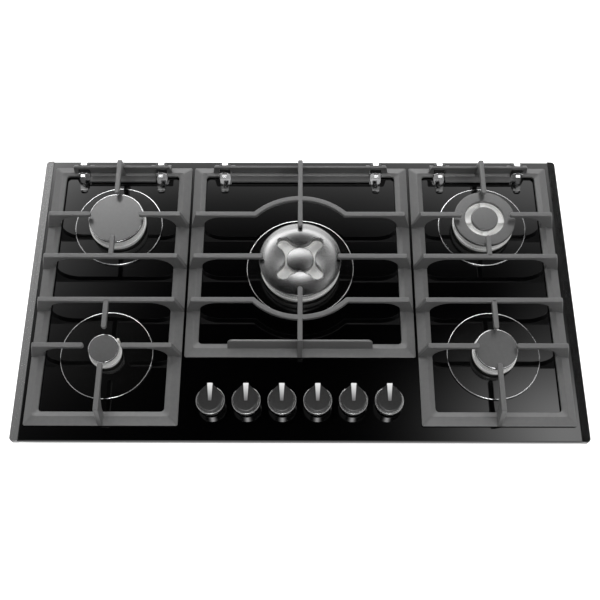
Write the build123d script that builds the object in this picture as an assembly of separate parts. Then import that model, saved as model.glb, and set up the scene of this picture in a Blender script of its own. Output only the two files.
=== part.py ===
from build123d import *
import math
import os

# A built-in gas hob: a black glass plate over a steel burner box, five gas burners,
# three cast pan supports that hinge up on chrome clips at the back, and six taps
# that push in and turn. X runs along the width, Y to the back and Z up. The origin
# is the middle of the plate's outline, at the underside of the burner box.
# All sizes are in millimetres.

# glass plate and its side trims
plate_width = 900.0
plate_depth = 510.0
plate_corner_radius = 6.0
glass_thickness = 8.0
glass_bevel = 1.5
trim_width = 13.0
trim_wall = 1.5
trim_fall = 1.3

# worktop cut-out, burner box and seal
cutout_overlap_x = 20.0
cutout_overlap_y = 11.0
cutout_clearance = 1.0
box_depth = 50.0
box_wall = 1.0
box_flange = 6.0
seal_width = 5.0
seal_inset = 4.0
seal_side_gap = 1.0
seal_corner_radius = 2.0
seal_thickness = 3.0
worktop_thickness = 30.0
clamp_y = 150.0
clamp_screw_margin = 11.0
air_slot_pitch = 100.0
air_slot_length = 60.0
air_slot_width = 6.0
air_slot_ys = (-60.0, 180.0)
clamp_z = 8.0
clamp_half_width = 15.0
clamp_leg_height = 24.0
clamp_sheet = 1.5
clamp_arm_margin = 7.0
clamp_screw_radius = 2.4
clamp_screw_bottom = 2.0
clamp_head_height = 3.0
clamp_slot_width = 1.2
clamp_slot_depth = 1.2

# burner places, counted from the ends of the pan supports
front_burner_inset = 118.0
back_burner_inset = 116.7

# burner parts, heights counted from the glass
burner_plate_thickness = 3.5
burner_plate_bevel = 0.8
neck_inset = 7.0
cup_wall = 3.0
cup_floor_drop = 26.0
cup_rim_height = 14.0
port_pitch = 4.0
port_width = 1.4
port_depth = 5.0
crown_wall = 5.0
crown_step_height = 2.0
crown_step_inset = 3.0
cap_top_height = 32.0
cap_thickness = 5.0
cap_edge = 1.0
cap_gap = 0.3
cap_spigot_depth = 3.5
cap_spigot_wall = 1.5
spigot_clearance = 0.6
inner_cap_radius = 22.5
inner_crown_radius = 21.5
dual_cap_hole_radius = 33.0
divider_gap = 1.0
divider_wall = 3.0
bridge_width = 8.0
bridge_drop = 3.0
bridge_overlap = 2.0
fence_gap = 0.5
fence_wall = 3.0
wok_cap_hole_radius = 24.2
wok_lobe_radius = 10.5
wok_lobe_offset = 27.6
wok_cap_peak = 37.5
wok_cap_peak_share = 0.66
wok_cap_edge = 30.0
wok_cap_inner_drop = 3.5
wok_dome_edge = 3.0
wok_dome_rise = 5.0
cup_base_height = 10.0
cup_base_inset = 1.0
cup_rim_overhang = 1.5
crown_floor = 4.0
throat_radius = 8.0
outer_throat_radius = 6.0
jet_radius = 4.8
jet_bore = 1.0
jet_rise = 5.0
jet_hole_clearance = 0.2
holder_half = 8.0
ear_margin = 4.0
ear_thickness = 4.0
fixing_screw_radius = 2.0
fixing_hole_clearance = 0.3
fixing_screw_reach = 11.0
fixing_head_radius = 3.2
fixing_head_height = 2.0
electrode_radius = 2.0
electrode_height = 21.0
electrode_tip_height = 24.0
electrode_tip_radius = 0.8
electrode_offset = 2.9
electrode_drop = 12.0
thermocouple_radius = 1.8
thermocouple_height = 22.0
thermocouple_offset = 2.7
thermocouple_drop = 10.0
collar_radius = 4.5
collar_thickness = 1.5
hole_clearance = 0.8

# pan supports, heights counted from the glass
support_back_margin = 15.0
support_front_margin = 24.0
support_side_margin = 19.0
centre_support_reach = 82.77
centre_support_half = 186.0
support_gap = 4.0
support_height = 47.0
rail_width = 22.0
back_rail_width = 18.5
rail_bottom = 2.0
rail_edge_height = 3.5
rail_ridge_height = 9.0
rail_inner_height = 6.5
rail_ridge_inset = 13.0
rail_ridge_flat = 1.0
rail_outer_radius = 3.0
rail_inner_radius = 6.0
bar_width = 8.0
web_depth = 7.5
bar_end_slope = 11.0
haunch_x = 30.0
small_tip_radius = 29.0
large_tip_radius = 40.0
wok_tip_x = 61.5
wok_tip_y = 55.6
wok_arc_radius = 109.0
lip_height = 31.6
lip_thickness = 3.6
lip_lean = 9.5
lip_inset = 12.4
side_lip_inset = 34.0
centre_lip_inset = 33.0
front_lip_inset = 70.0
lip_end_slope = 4.0
front_lip_end_slope = 6.0
lip_corner_radius = 3.0
ledge_depth = 10.5
ledge_bevel = 2.0
foot_radius = 4.5
foot_margin = 8.0
foot_gap = 0.3
foot_recess = 1.5

# hinge clips of the pan supports
side_clip_inset = 53.0
centre_clip_inset = 54.3
hinge_inset = 6.0
hinge_height = 15.0
hinge_pin_radius = 3.0
running_clearance = 0.08
clip_width = 20.0
clip_back_width = 10.0
clip_sheet = 1.5
clip_front_height = 19.0
clip_back_height = 17.0
clip_tongue_reach = 47.0
clip_tongue_width = 9.0
clip_side_gap = 0.5
clip_front_gap = 0.7
clip_rear_gap = 0.8
clip_corner = 4.0
notch_height = 22.0
hinge_block_width = 18.0
hinge_block_radius = 6.5
lug_width = 7.0
lug_radius = 4.0
lug_reach = 6.0
lug_bottom = 5.0
stud_radius = 2.0
stud_head_radius = 3.5
stud_reach = 34.0

# taps and knobs
tap_count = 6
tap_pitch = 55.6
tap_margin = 60.0
knob_radius = 22.5
knob_wall = 2.0
knob_push = 2.5
knob_clearance = 0.8
knob_foot_radius = 20.0
knob_rim_height = 20.0
knob_edge = 1.0
knob_edge_height = 1.5
knob_front_height = 22.5
knob_back_height = 38.7
knob_grip_radius = 19.0
knob_tip_radius = 6.5
knob_hub_radius = 8.0
knob_fit = 0.05
spindle_radius = 4.0
spindle_flat = 2.6
plug_radius = 6.9
plug_end_gap = 0.3
plug_way_radius = 2.0
cover_clearance = 0.4
seal_clearance = 0.5
valve_leg_half = 6.0
valve_half_width = 13.0
valve_bottom = 14.0
valve_top = 40.0
valve_cover = 2.0
valve_front_reach = 15.0
valve_back_reach = 19.0
valve_wall = 4.0
gas_z = 21.5
port_radius = 2.5
spindle_bottom = 28.0
spindle_end_clearance = 1.0
spindle_top_height = 19.0
seal_collar_radius = 10.0
seal_collar_height = 1.2
gas_tube = 16.0
gas_tube_wall = 1.5
gas_tube_end = 21.0
pipe_radius = 4.0
pipe_bore = 3.0
pipe_bend = 16.0
wok_outer_jet_reach = 34.6
inlet_thread_radius = 10.48
inlet_thread_length = 14.0
inlet_neck_radius = 10.0
inlet_bore = 5.5
inlet_thread_margin = 1.0
inlet_body_radius = 12.5
inlet_body_length = 32.0
inlet_socket_depth = 10.0
inlet_inset = 23.0
module_size = 70.0
module_height = 29.0
module_inset = 183.0
module_y = -10.0
module_corner_radius = 3.0
terminal_count = 7
terminal_pitch = 9.0
terminal_width = 4.0
terminal_thickness = 2.0
terminal_reach = 8.0
terminal_z = 12.0

# heights and places that follow from the sizes above
glass_bottom = box_depth
glass_top = glass_bottom + glass_thickness
support_top = glass_top + support_height
box_half_x = plate_width / 2 - cutout_overlap_x - cutout_clearance - box_flange
box_half_y = plate_depth / 2 - cutout_overlap_y - cutout_clearance - box_flange
clamp_screw_x = plate_width / 2 - clamp_screw_margin
support_back = plate_depth / 2 - support_back_margin
side_support_front = support_front_margin - plate_depth / 2
side_support_outer = plate_width / 2 - support_side_margin
side_support_inner = centre_support_half + support_gap
side_support_half = (side_support_outer - side_support_inner) / 2
corner_burner_x = (side_support_outer + side_support_inner) / 2
front_burner_y = side_support_front + front_burner_inset
back_burner_y = support_back - back_burner_inset
bar_ys = [front_burner_y + (back_burner_y - front_burner_y) * step / 3 for step in range(4)]
centre_burner_y = bar_ys[2]
centre_support_front = bar_ys[1] - centre_support_reach
hinge_y = support_back - hinge_inset
hinge_z = glass_top + hinge_height
clip_reach = side_support_half - side_clip_inset
centre_clip_reach = centre_support_half - centre_clip_inset
side_clip_xs = [corner_burner_x - clip_reach, corner_burner_x + clip_reach]
clip_xs = [-x for x in side_clip_xs] + [-centre_clip_reach, centre_clip_reach] + side_clip_xs
stud_y = support_back - stud_reach
cap_underside = glass_top + cap_top_height - cap_thickness
crown_top = cap_underside - cap_gap
crown_floor_top = glass_top + cup_rim_height + crown_floor
cup_floor = glass_top - cup_floor_drop
tap_xs = [(place - (tap_count - 1) / 2) * tap_pitch for place in range(tap_count)]
tap_y = tap_margin - plate_depth / 2
tap_hole_radius = spindle_radius + 3 * hole_clearance
knob_gap = seal_collar_height + knob_push + knob_clearance
valve_front = tap_y + valve_front_reach
valve_back = tap_y - valve_back_reach
plug_bottom = valve_bottom + valve_wall + plug_end_gap
plug_top = valve_top - valve_cover - plug_end_gap
spindle_socket_bottom = spindle_bottom - knob_push - spindle_end_clearance
inlet_x = box_half_x - inlet_inset
inlet_body_start = box_half_y - inlet_body_length
wok_outer_jet_y = centre_burner_y - wok_outer_jet_reach

# between the lobes the wok cap's opening is bounded by arcs that touch the lobes
lobe_step = wok_lobe_offset - wok_cap_hole_radius
petal_radius = lobe_step**2 + wok_lobe_offset**2 - wok_lobe_radius**2
petal_radius = petal_radius / (2 * (wok_lobe_radius + lobe_step))
petal_reach = wok_cap_hole_radius + petal_radius

# each burner's place, the radii of its plate, flame crown and cap, and where its spark
# rod and its sensing rod stand, in degrees from +X
burners = {
    "front_left": {
        "x": -corner_burner_x, "y": front_burner_y,
        "plate": 74.5, "crown": 24.5, "cap": 24.0, "spark": 45, "sensor": 120,
    },
    "front_right": {
        "x": corner_burner_x, "y": front_burner_y,
        "plate": 74.5, "crown": 34.0, "cap": 33.5, "spark": 78, "sensor": 48,
    },
    "back_left": {
        "x": -corner_burner_x, "y": back_burner_y,
        "plate": 74.5, "crown": 46.5, "cap": 46.0, "spark": 100, "sensor": 125,
    },
    "back_right": {
        "x": corner_burner_x, "y": back_burner_y,
        "plate": 74.5, "crown": 50.0, "cap": 51.5, "spark": 80, "sensor": 55,
    },
    "centre": {
        "x": 0.0, "y": centre_burner_y,
        "plate": 89.5, "crown": 65.0, "cap": 68.0, "spark": 80, "sensor": 100,
    },
}
single_ring_burners = ("front_left", "front_right", "back_left")


def block(x0, x1, y0, y1, z0, z1):
    """A box given by its two corners."""
    middle = Pos((x0 + x1) / 2, (y0 + y1) / 2, (z0 + z1) / 2)
    return middle * Box(abs(x1 - x0), abs(y1 - y0), abs(z1 - z0))


def rod(x, y, radius, z0, z1):
    """An upright cylinder."""
    return Pos(x, y, (z0 + z1) / 2) * Cylinder(radius, z1 - z0)


def cross_rod(x0, x1, y, z, radius):
    """A cylinder along X."""
    return Pos((x0 + x1) / 2, y, z) * Rot(0, 90, 0) * Cylinder(radius, x1 - x0)


def depth_rod(x, y0, y1, z, radius):
    """A cylinder along Y."""
    return Pos(x, (y0 + y1) / 2, z) * Rot(90, 0, 0) * Cylinder(radius, y1 - y0)


def slab(width, depth, radius, z0, z1, x=0.0, y=0.0):
    """An upright plate with rounded corners."""
    return Pos(x, y, z0) * extrude(RectangleRounded(width, depth, radius), z1 - z0)


def turned(points, x=0.0, y=0.0):
    """A solid of revolution from (radius, height) points."""
    outline = Polyline(*points, close=True)
    return Pos(x, y, 0) * revolve(Plane.XZ * make_face(outline), Axis.Z, 360)


def save(name, shape):
    """Writes one sub-part."""
    if isinstance(shape, list):
        shape = Compound(children=shape)
    export_step(shape, f"parts/{name}.step")


def around(burner, radius, angle):
    """A point at a radius and an angle from a burner's middle."""
    turn = math.radians(angle)
    return burner["x"] + radius * math.cos(turn), burner["y"] + radius * math.sin(turn)


def electrode_place(burner):
    return around(burner, burner["crown"] + electrode_offset, burner["spark"])


def thermocouple_place(burner):
    return around(burner, burner["crown"] + thermocouple_offset, burner["sensor"])


def rod_holes(burner, z0, z1):
    """Clear holes for a burner's spark rod and sensing rod."""
    spark = rod(*electrode_place(burner), electrode_radius + hole_clearance, z0, z1)
    sensor = rod(*thermocouple_place(burner), thermocouple_radius + hole_clearance, z0, z1)
    return [spark, sensor]


# ---- glass plate, trims, seal and box ----

def glass_plate():
    """The glass, with a bevelled top edge and a hole for all that comes through it."""
    width = plate_width - 2 * trim_wall
    plate = slab(width, plate_depth, plate_corner_radius, glass_bottom, glass_top)
    plate = chamfer(plate.faces().sort_by(Axis.Z)[-1].outer_wire().edges(), glass_bevel)
    low = glass_bottom - 1
    high = glass_top + 1
    holes = []
    for burner in burners.values():
        neck = burner["crown"] - neck_inset
        holes.append(rod(burner["x"], burner["y"], neck + hole_clearance, low, high))
        holes += rod_holes(burner, low, high)
    for x in tap_xs:
        holes.append(rod(x, tap_y, tap_hole_radius, low, high))
    for x in clip_xs:
        holes.append(rod(x, stud_y, stud_radius, low, high))
    return plate - holes


def side_trims():
    """Two C-shaped metal strips that grip the short edges of the glass; their tops fall outwards."""
    top = glass_top + trim_wall
    strip = slab(plate_width, plate_depth, plate_corner_radius, glass_bottom - trim_wall, top)
    half = plate_width / 2
    middle = block(trim_width - half, half - trim_width, -half, half, 0, 2 * half)
    groove = block(trim_wall - half, half - trim_wall, -half, half, glass_bottom, glass_top)
    falls = []
    for side in (-1, 1):
        inner = side * (half - trim_width)
        outer = side * half
        face = make_face(Polyline((inner, top), (outer, top), (outer, top - trim_fall), close=True))
        falls.append(extrude(Plane.XZ * face, half, both=True))
    return (strip - middle - groove - falls).solids()


def worktop_seal():
    """A soft frame between the glass and the worktop."""
    half_x = plate_width / 2 - trim_width - seal_side_gap
    half_y = plate_depth / 2 - seal_inset
    low = glass_bottom - seal_thickness
    ring = slab(2 * half_x, 2 * half_y, plate_corner_radius, low, glass_bottom)
    hole_x = half_x - seal_width
    hole_y = half_y - seal_width
    inner = slab(2 * hole_x, 2 * hole_y, seal_corner_radius, low, glass_bottom)
    return ring - inner


def burner_box():
    """A sheet tray that hangs under the glass, with a flange, an inlet hole and air slots."""
    width = 2 * box_half_x
    depth = 2 * box_half_y
    tray = slab(width, depth, 4, 0, box_depth)
    flange = slab(width + 2 * box_flange, depth + 2 * box_flange, 8, box_depth - box_wall, box_depth)
    hollow = slab(width - 2 * box_wall, depth - 2 * box_wall, 3, box_wall, box_depth + 1)
    tray = tray + flange - hollow
    cuts = [depth_rod(inlet_x, box_half_y - 5, box_half_y + 5, gas_z, inlet_neck_radius + 0.2)]
    for place in range(-3, 4):
        for y in air_slot_ys:
            cuts.append(slab(air_slot_length, air_slot_width, 2.9, -1, 3, x=place * air_slot_pitch, y=y))
    return tray - cuts


def worktop_clamps():
    """Four angle brackets on the box sides, each with a hole for a clamp screw."""
    brackets = []
    half = clamp_half_width
    leg_top = clamp_z + clamp_leg_height
    for side in (-1, 1):
        wall = side * box_half_x
        end = side * (clamp_screw_x + clamp_arm_margin)
        for y in (-clamp_y, clamp_y):
            leg = block(wall, wall + side * clamp_sheet, y - half, y + half, clamp_z, leg_top)
            arm = block(wall, end, y - half, y + half, clamp_z, clamp_z + clamp_sheet)
            hole = rod(side * clamp_screw_x, y, clamp_screw_radius, 0, clamp_z + 2 * clamp_sheet)
            brackets.append(leg + arm - hole)
    return brackets


def clamp_screws():
    """Screws that press up against the underside of the worktop."""
    screws = []
    top = glass_bottom - seal_thickness - worktop_thickness
    low = clamp_screw_bottom
    head_radius = 2 * clamp_screw_radius
    slot_top = low + clamp_slot_depth
    half_slot = clamp_slot_width / 2
    for side in (-1, 1):
        x = side * clamp_screw_x
        for y in (-clamp_y, clamp_y):
            shank = rod(x, y, clamp_screw_radius, low, top)
            head = rod(x, y, head_radius, low, low + clamp_head_height)
            slot = block(x - head_radius, x + head_radius, y - half_slot, y + half_slot, 0, slot_top)
            screws.append(shank + head - slot)
    return screws


# ---- burners ----

def burner_plate(burner):
    """A thin round plate on the glass around one burner."""
    x, y = burner["x"], burner["y"]
    top = glass_top + burner_plate_thickness
    plate = rod(x, y, burner["plate"], glass_top, top)
    plate = chamfer(plate.edges().group_by(Axis.Z)[-1], burner_plate_bevel)
    neck = burner["crown"] - neck_inset
    plate = plate - rod(x, y, neck + hole_clearance / 2, glass_top - 1, top + 1)
    return plate - rod_holes(burner, glass_top - 1, top + 1)


def jet_places(burner):
    """Where gas comes up into a cup: the middle, and for the large burner its outer ring."""
    places = [(burner["x"], burner["y"])]
    if burner is burners["centre"]:
        places.append((tap_xs[3], wok_outer_jet_y))
    return places


def fixing_places(burner):
    return [(burner["x"] + side * fixing_screw_reach, burner["y"]) for side in (-1, 1)]


def fixing_holes(burner, clearance, z0, z1):
    return [rod(*place, fixing_screw_radius + clearance, z0, z1) for place in fixing_places(burner)]


def burner_cup(burner):
    """A cast cup: its neck goes through the glass and its rim, notched for the rods, stands on the plate."""
    neck = burner["crown"] - neck_inset
    base_radius = burner["crown"] - cup_base_inset
    rim_radius = burner["crown"] + cup_rim_overhang
    base = glass_top + burner_plate_thickness
    step = glass_top + cup_base_height
    rim = glass_top + cup_rim_height
    floor_top = cup_floor + cup_wall
    points = [(0, cup_floor), (neck, cup_floor), (neck, base), (base_radius, base), (base_radius, step)]
    points += [(rim_radius, step), (rim_radius, rim), (neck - cup_wall, rim)]
    points += [(neck - cup_wall, floor_top), (0, floor_top)]
    cup = turned(points, burner["x"], burner["y"])
    jet_hole = jet_radius + jet_hole_clearance
    holes = [rod(*place, jet_hole, cup_floor - 1, floor_top + 1) for place in jet_places(burner)]
    holes += fixing_holes(burner, fixing_hole_clearance, cup_floor - 1, floor_top + 1)
    return cup - holes - rod_holes(burner, step - 1, rim + 1)


def port_cuts(burner, radius):
    """Radial slots in the top of a crown's wall."""
    count = int(2 * math.pi * radius / port_pitch)
    middle = Pos(burner["x"], burner["y"], crown_top - port_depth / 2)
    slot = Pos(radius - crown_wall / 2, 0, 0.5) * Box(crown_wall + 3, port_width, port_depth + 1)
    return [middle * Rot(0, 0, turn * 360 / count) * slot for turn in range(count)]


def crown_ring(burner, radius, wall):
    """One upright ring wall of a crown."""
    ring = rod(burner["x"], burner["y"], radius, crown_floor_top - 1, crown_top)
    return ring - rod(burner["x"], burner["y"], radius - wall, crown_floor_top - 2, crown_top + 1)


def single_crown(burner):
    """A flame crown with one ring of ports and a throat in its floor."""
    crown = burner["crown"]
    seat = glass_top + cup_rim_height
    groove = seat + crown_step_height
    inner = crown - crown_wall
    points = [(throat_radius, seat), (crown - crown_step_inset, seat), (crown - crown_step_inset, groove)]
    points += [(crown, groove), (crown, crown_top), (inner, crown_top), (inner, crown_floor_top)]
    points += [(throat_radius, crown_floor_top)]
    return turned(points, burner["x"], burner["y"]) - port_cuts(burner, crown)


def dual_crown(burner):
    """A crown with an outer chamber, an inner ring of ports and four bridges between them."""
    shape = single_crown(burner)
    divider = dual_cap_hole_radius + divider_gap + divider_wall
    shape = shape + crown_ring(burner, divider, divider_wall)
    inner = crown_ring(burner, inner_crown_radius, crown_wall)
    start = inner_crown_radius - bridge_overlap
    end = dual_cap_hole_radius + bridge_overlap
    half = bridge_width / 2
    bridges = []
    for turn in range(4):
        arm = block(start, end, -half, half, crown_floor_top - 1, crown_top - bridge_drop)
        bridges.append(Pos(burner["x"], burner["y"], 0) * Rot(0, 0, 90 * turn) * arm)
    return shape + (inner - port_cuts(burner, inner_crown_radius)) + bridges


def clover(grow):
    """The outline of the wok cap's opening: four round lobes joined by arcs that bulge inwards."""
    lobe = wok_lobe_radius + grow
    share = lobe / (petal_radius + wok_lobe_radius)
    far = wok_lobe_offset + share * (petal_reach - wok_lobe_offset)
    near = wok_lobe_offset * (1 - share)
    tip = wok_cap_hole_radius + grow
    outer = wok_lobe_offset + lobe / math.sqrt(2)
    side = ThreePointArc((far, -near), (tip, 0), (far, near))
    corner = ThreePointArc((far, near), (outer, outer), (near, far))
    arcs = [Rot(0, 0, 90 * turn) * arc for turn in range(4) for arc in (side, corner)]
    return make_face(arcs)


def clover_solid(grow, z0, z1):
    return Pos(0, centre_burner_y, z0) * extrude(clover(grow), z1 - z0)


def wok_crown(burner):
    """A large crown with an inner ring, and a wall that follows the cap's opening."""
    shape = single_crown(burner)
    fence = clover_solid(fence_gap + fence_wall, crown_floor_top - 1, crown_top)
    fence = fence - clover_solid(fence_gap, crown_floor_top - 2, crown_top + 1)
    inner = crown_ring(burner, inner_crown_radius, crown_wall) - port_cuts(burner, inner_crown_radius)
    throat = rod(*jet_places(burner)[1], outer_throat_radius, glass_top, crown_floor_top + 1)
    return shape + fence + inner - throat


def cap_disc(burner, radius, chamber):
    """A round enamelled cap that a spigot ring centres in its crown."""
    x, y = burner["x"], burner["y"]
    disc = rod(x, y, radius, cap_underside, cap_underside + cap_thickness)
    disc = chamfer(disc.edges().group_by(Axis.Z)[-1], cap_edge)
    return disc + cap_spigot(burner, chamber)


def cap_spigot(burner, chamber):
    """The ring under a cap; it stands clear of the chamber wall by the spigot clearance."""
    x, y = burner["x"], burner["y"]
    outer = chamber - spigot_clearance
    ring = rod(x, y, outer, cap_underside - cap_spigot_depth, cap_underside)
    return ring - rod(x, y, outer - cap_spigot_wall, cap_underside - cap_spigot_depth - 1, cap_underside)


def dual_outer_cap(burner):
    """A flat ring cap over the outer chamber of the back right burner."""
    cap = cap_disc(burner, burner["cap"], burner["crown"] - crown_wall)
    hole = rod(burner["x"], burner["y"], dual_cap_hole_radius, cap_underside - 1, support_top)
    return cap - hole


def wok_outer_cap(burner):
    """A domed ring cap with a four-lobed opening; its top falls in an arc to both edges."""
    rim = burner["cap"]
    edge = glass_top + wok_cap_edge
    high = glass_top + wok_cap_peak
    peak = (rim * wok_cap_peak_share, high)
    inner = (wok_cap_hole_radius, high - wok_cap_inner_drop)
    base = Polyline((0, inner[1]), (0, cap_underside), (rim, cap_underside), (rim, edge))
    outer_arc = TangentArc(peak, (rim, edge), tangent=(1, 0))
    inner_arc = TangentArc(peak, inner, tangent=(-1, 0))
    outline = make_face([*base.edges(), outer_arc, inner_arc, Line(inner, (0, inner[1]))])
    dome = Pos(burner["x"], burner["y"], 0) * revolve(Plane.XZ * outline, Axis.Z, 360)
    dome = dome + cap_spigot(burner, burner["crown"] - crown_wall)
    return dome - clover_solid(0, cap_underside - cap_spigot_depth - 1, support_top)


def wok_inner_cap(burner):
    """A small domed cap in the middle of the large burner."""
    x, y = burner["x"], burner["y"]
    ball_radius = (inner_cap_radius**2 + wok_dome_rise**2) / (2 * wok_dome_rise)
    peak = cap_underside + wok_dome_edge + wok_dome_rise
    ball = Pos(x, y, peak - ball_radius) * Sphere(ball_radius)
    cap = rod(x, y, inner_cap_radius, cap_underside, peak) & ball
    return cap + cap_spigot(burner, inner_crown_radius - crown_wall)


def spark_electrodes():
    """A ceramic rod with a collar under the glass and a wire tip, one for each burner."""
    rods = []
    top = glass_top + electrode_height
    for burner in burners.values():
        place = electrode_place(burner)
        body = rod(*place, electrode_radius, glass_bottom - electrode_drop, top)
        collar = rod(*place, collar_radius, glass_bottom - collar_thickness, glass_bottom)
        tip = rod(*place, electrode_tip_radius, top, glass_top + electrode_tip_height)
        rods.append(body + collar + tip)
    return rods


def thermocouples():
    """A metal sensing rod with a collar under the glass, one for each burner."""
    rods = []
    top = glass_top + thermocouple_height
    for burner in burners.values():
        place = thermocouple_place(burner)
        body = rod(*place, thermocouple_radius, glass_bottom - thermocouple_drop, top)
        collar = rod(*place, collar_radius, glass_bottom - collar_thickness, glass_bottom)
        rods.append(body + collar)
    return rods


def injector_holder(burner, place):
    """A post from the box floor with a gas jet; the one in the burner's middle has two screw ears."""
    x, y = place
    half = holder_half
    jet_top = cup_floor + cup_wall + jet_rise
    post = block(x - half, x + half, y - half, y + half, box_wall, cup_floor)
    if place == jet_places(burner)[0]:
        reach = fixing_screw_reach + ear_margin
        low = cup_floor - ear_thickness
        ear = block(x - reach, x + reach, y - half, y + half, low, cup_floor)
        post = post + ear - fixing_holes(burner, 0, low - 1, cup_floor + 1)
    post = post + rod(x, y, jet_radius, cup_floor, jet_top)
    return post - rod(x, y, jet_bore, gas_z, jet_top + 1) - holder_inlet(place)


def injector_holders():
    """A post under every jet of every burner; it feeds the cup and holds it."""
    return [injector_holder(burner, place) for burner in burners.values() for place in jet_places(burner)]


def holder_inlet(place):
    """The gas way into a post, on the side that its pipe comes from."""
    x, y = place
    end = holder_half + 1
    if place == jet_places(burners["centre"])[1]:
        return depth_rod(x, y - end, y, gas_z, pipe_bore)
    if place[0] < 0:
        return cross_rod(x, x + end, y, gas_z, pipe_bore)
    return cross_rod(x - end, x, y, gas_z, pipe_bore)


def burner_screws():
    """Two screws inside each cup that hold it to its post."""
    screws = []
    seat = cup_floor + cup_wall
    for burner in burners.values():
        for place in fixing_places(burner):
            shank = rod(*place, fixing_screw_radius, cup_floor - ear_thickness, seat)
            head = rod(*place, fixing_head_radius, seat, seat + fixing_head_height)
            screws.append(shank + head)
    return screws


# ---- gas supply and taps ----

def gas_rail():
    """A square tube behind the front edge, with a round tube back to the inlet."""
    front = valve_back - gas_tube
    low = gas_z - gas_tube / 2
    high = gas_z + gas_tube / 2
    left = tap_xs[0] - gas_tube_end
    right = inlet_x + gas_tube / 2
    wall = gas_tube_wall
    end = inlet_body_start + inlet_socket_depth
    tube = block(left, right, front, valve_back, low, high)
    bore = block(left + wall, right - wall, front + wall, valve_back - wall, low + wall, high - wall)
    ports = [depth_rod(x, valve_back - wall - 1, valve_back + 1, gas_z, port_radius) for x in tap_xs]
    branch = depth_rod(inlet_x, valve_back, end, gas_z, gas_tube / 2)
    branch_bore = depth_rod(inlet_x, valve_back - wall - 1, end + 1, gas_z, gas_tube / 2 - wall)
    return tube - bore + branch - branch_bore - ports


def gas_inlet():
    """A brass inlet: a shoulder inside the box, a neck through its back wall and a thread."""
    wall = box_half_y - box_wall
    end = plate_depth / 2 - inlet_thread_margin
    start = end - inlet_thread_length
    body = depth_rod(inlet_x, inlet_body_start, wall, gas_z, inlet_body_radius)
    neck = depth_rod(inlet_x, wall, start, gas_z, inlet_neck_radius)
    thread = depth_rod(inlet_x, start, end, gas_z, inlet_thread_radius)
    socket_end = inlet_body_start + inlet_socket_depth
    socket = depth_rod(inlet_x, inlet_body_start - 1, socket_end, gas_z, gas_tube / 2)
    bore = depth_rod(inlet_x, inlet_body_start, end + 1, gas_z, inlet_bore)
    return body + neck + thread - socket - bore


def valve_body(x):
    """One tap body: a bore for its plug, a cover with a spindle hole and two gas ways."""
    body = block(x - valve_half_width, x + valve_half_width, valve_back, valve_front, valve_bottom, valve_top)
    half = valve_leg_half
    leg = block(x - half, x + half, tap_y - half, tap_y + half, box_wall, valve_bottom)
    bore = rod(x, tap_y, plug_radius + running_clearance, plug_bottom - plug_end_gap, plug_top + plug_end_gap)
    cover_hole = rod(x, tap_y, spindle_radius + cover_clearance, plug_top, valve_top + 1)
    gas_way = depth_rod(x, valve_back - 1, valve_front + 1, gas_z, port_radius)
    return body + leg - bore - cover_hole - gas_way


def d_section(radius, flat, z0, z1, x, y):
    """A round bar with one flat side."""
    bar = rod(x, y, radius, z0, z1)
    return bar - block(x - radius - 1, x + radius + 1, y + flat, y + radius + 1, z0 - 1, z1 + 1)


def valve_plug(x):
    """The part that turns in a tap body: a gas way across it and a D-shaped socket."""
    plug = rod(x, tap_y, plug_radius, plug_bottom, plug_top)
    radius = spindle_radius + running_clearance
    flat = spindle_flat + running_clearance
    socket = d_section(radius, flat, spindle_socket_bottom, plug_top + 1, x, tap_y)
    way = depth_rod(x, tap_y - plug_radius - 1, tap_y, gas_z, plug_way_radius)
    side = cross_rod(x, x + plug_radius + 1, tap_y, gas_z, plug_way_radius)
    return plug - socket - way - side


def valve_spindle(x):
    """A D-shaped bar that slides in its plug and carries the knob."""
    return d_section(spindle_radius, spindle_flat, spindle_bottom, glass_top + spindle_top_height, x, tap_y)


def knob_grip():
    """A teardrop with a top that rises to the back, where its indicator is."""
    tip_y = knob_radius - knob_tip_radius
    teardrop = make_hull((Circle(knob_grip_radius) + Pos(0, tip_y) * Circle(knob_tip_radius)).edges())
    grip = Pos(0, 0, glass_top + knob_rim_height) * extrude(teardrop, knob_back_height)
    front = (-knob_grip_radius - 1, glass_top + knob_front_height)
    back = (knob_radius + 1, glass_top + knob_back_height)
    high = back[1] + knob_back_height
    above = make_face(Polyline(front, back, (back[0], high), (front[0], high), close=True))
    return grip - extrude(Plane.YZ * above, 2 * knob_radius, both=True)


def knob(x):
    """A round skirt that tapers down to the glass, under its grip; it is hollow around a hub."""
    low = glass_top + knob_gap
    rim = glass_top + knob_rim_height
    top = rim + knob_edge_height
    points = [(0, low), (knob_foot_radius, low), (knob_radius, rim), (knob_radius - knob_edge, top), (0, top)]
    inside = rim - knob_wall
    hollow = [(knob_hub_radius, low - 1), (knob_foot_radius - knob_wall, low - 1)]
    hollow += [(knob_radius - knob_wall - knob_edge / 2, inside), (knob_hub_radius, inside)]
    end = glass_top + spindle_top_height + knob_fit
    socket = d_section(spindle_radius + knob_fit, spindle_flat + knob_fit, low - 1, end, 0, 0)
    return Pos(x, tap_y, 0) * (turned(points) + knob_grip() - turned(hollow) - socket)


def knob_seal(x):
    """A soft collar in the glass hole; the spindle passes through it clear."""
    collar = rod(x, tap_y, seal_collar_radius, glass_top, glass_top + seal_collar_height)
    sleeve = rod(x, tap_y, tap_hole_radius, glass_bottom, glass_top)
    top = glass_top + seal_collar_height
    return collar + sleeve - rod(x, tap_y, spindle_radius + seal_clearance, glass_bottom - 1, top + 1)


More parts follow.
